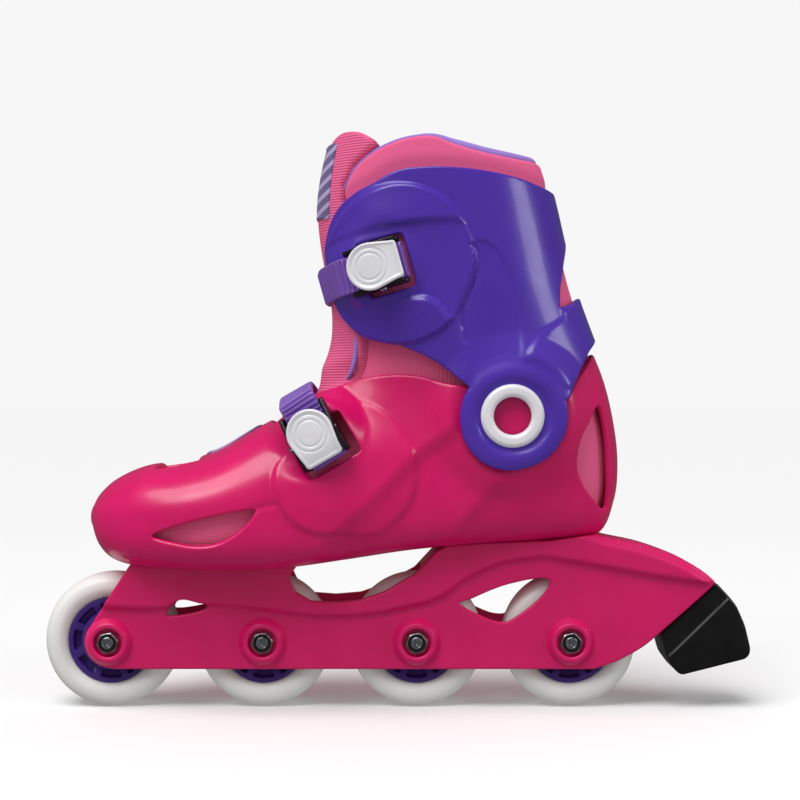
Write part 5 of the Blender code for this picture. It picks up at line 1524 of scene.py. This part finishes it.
class SKATE_OT_stage(bpy.types.Operator):
    """Make the paper floor, the soft lights and the camera"""

    bl_idname = "skate.stage"
    bl_label = "Stage"

    def execute(self, context):
        scene = context.scene
        mesh = bpy.data.meshes.new("floor")
        corners = [(FLOOR_REACH * i, FLOOR_REACH * j, 0) for i, j in ((-1, -1), (1, -1), (1, 1), (-1, 1))]
        mesh.from_pydata(corners, [], [(0, 1, 2, 3)])
        mesh.materials.append(finish_of("backdrop paper"))
        floor = bpy.data.objects.new("floor", mesh)
        scene.collection.objects.link(floor)
        floor.visible_diffuse = False  # the paper throws no light back up onto the skate
        floor.visible_glossy = False
        world = bpy.data.worlds.new("studio")
        world.use_nodes = True
        tree = world.node_tree
        ambient = tree.nodes["Background"]
        ambient.inputs["Color"].default_value = (1, 1, 1, 1)
        ambient.inputs["Strength"].default_value = AMBIENT
        backdrop = add(tree, "ShaderNodeBackground", {"Color": (1, 1, 1, 1), "Strength": BACKDROP})
        seen = add(tree, "ShaderNodeLightPath").outputs["Is Camera Ray"]
        dim = add(tree, "ShaderNodeBackground", {"Color": (1, 1, 1, 1), "Strength": REFLECTED})
        mirrored = add(tree, "ShaderNodeLightPath").outputs["Is Glossy Ray"]
        lit = add(tree, "ShaderNodeMixShader", {0: mirrored, 1: ambient.outputs[0], 2: dim.outputs[0]})
        mixed = add(tree, "ShaderNodeMixShader", {0: seen, 1: lit.outputs[0], 2: backdrop.outputs[0]})
        tree.links.new(mixed.outputs[0], tree.nodes["World Output"].inputs["Surface"])
        scene.world = world
        overhead = bpy.data.lights.new("overhead", "SUN")
        overhead.energy, overhead.angle = OVERHEAD_STRENGTH, math.radians(OVERHEAD_SPREAD)
        above = bpy.data.objects.new("overhead", overhead)
        above.rotation_euler = Vector(OVERHEAD_FROM).to_track_quat("Z", "Y").to_euler()
        scene.collection.objects.link(above)
        area_light("softbox", (-0.55, -0.7, 0.78), (0, 0, 0.12), 0.34, 1.5)
        area_light("side", (0.75, -0.3, 0.42), (0.05, 0, 0.2), 0.3, 1.0)
        scene.view_settings.view_transform = "Standard"
        camera = bpy.data.cameras.new("camera")
        camera.lens, camera.sensor_width = LENS, SENSOR
        camera.clip_start = 0.01
        eye = bpy.data.objects.new("camera", camera)
        eye.location = (CAMERA_X * MM, (CENTRE_Y - CAMERA_BACK) * MM, CAMERA_Z * MM)
        eye.rotation_euler = (math.pi / 2, 0, 0)
        scene.collection.objects.link(eye)
        scene.camera = eye
        return {"FINISHED"}


OPERATORS = (
    SKATE_OT_shell, SKATE_OT_cuff, SKATE_OT_liner, SKATE_OT_tongue, SKATE_OT_straps, SKATE_OT_buckles,
    SKATE_OT_pivots, SKATE_OT_chassis, SKATE_OT_brake, SKATE_OT_wheels, SKATE_OT_stage,
)


class SKATE_PT_panel(bpy.types.Panel):
    """The skate's sizes, colours and pieces"""

    bl_label = "Inline skate"
    bl_idname = "SKATE_PT_panel"
    bl_space_type = "VIEW_3D"
    bl_region_type = "UI"
    bl_category = "Skate"

    def draw(self, context):
        for group in (context.scene.skate_sizes, context.scene.skate_colours):
            column = self.layout.column()
            for name in group.__annotations__:
                column.prop(group, name)
        for operator in OPERATORS:
            self.layout.operator(operator.bl_idname)


CLASSES = (SkateColours, SkateSizes, *OPERATORS, SKATE_PT_panel)


def register():
    for cls in CLASSES:
        bpy.utils.register_class(cls)
    bpy.types.Scene.skate_colours = bpy.props.PointerProperty(type=SkateColours)
    bpy.types.Scene.skate_sizes = bpy.props.PointerProperty(type=SkateSizes)


def unregister():
    del bpy.types.Scene.skate_sizes
    del bpy.types.Scene.skate_colours
    for cls in reversed(CLASSES):
        bpy.utils.unregister_class(cls)


def main():
    register()
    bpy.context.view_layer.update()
    for operator in OPERATORS:
        group, name = operator.bl_idname.split(".")
        getattr(getattr(bpy.ops, group), name)()


if __name__ == "__main__":
    main()
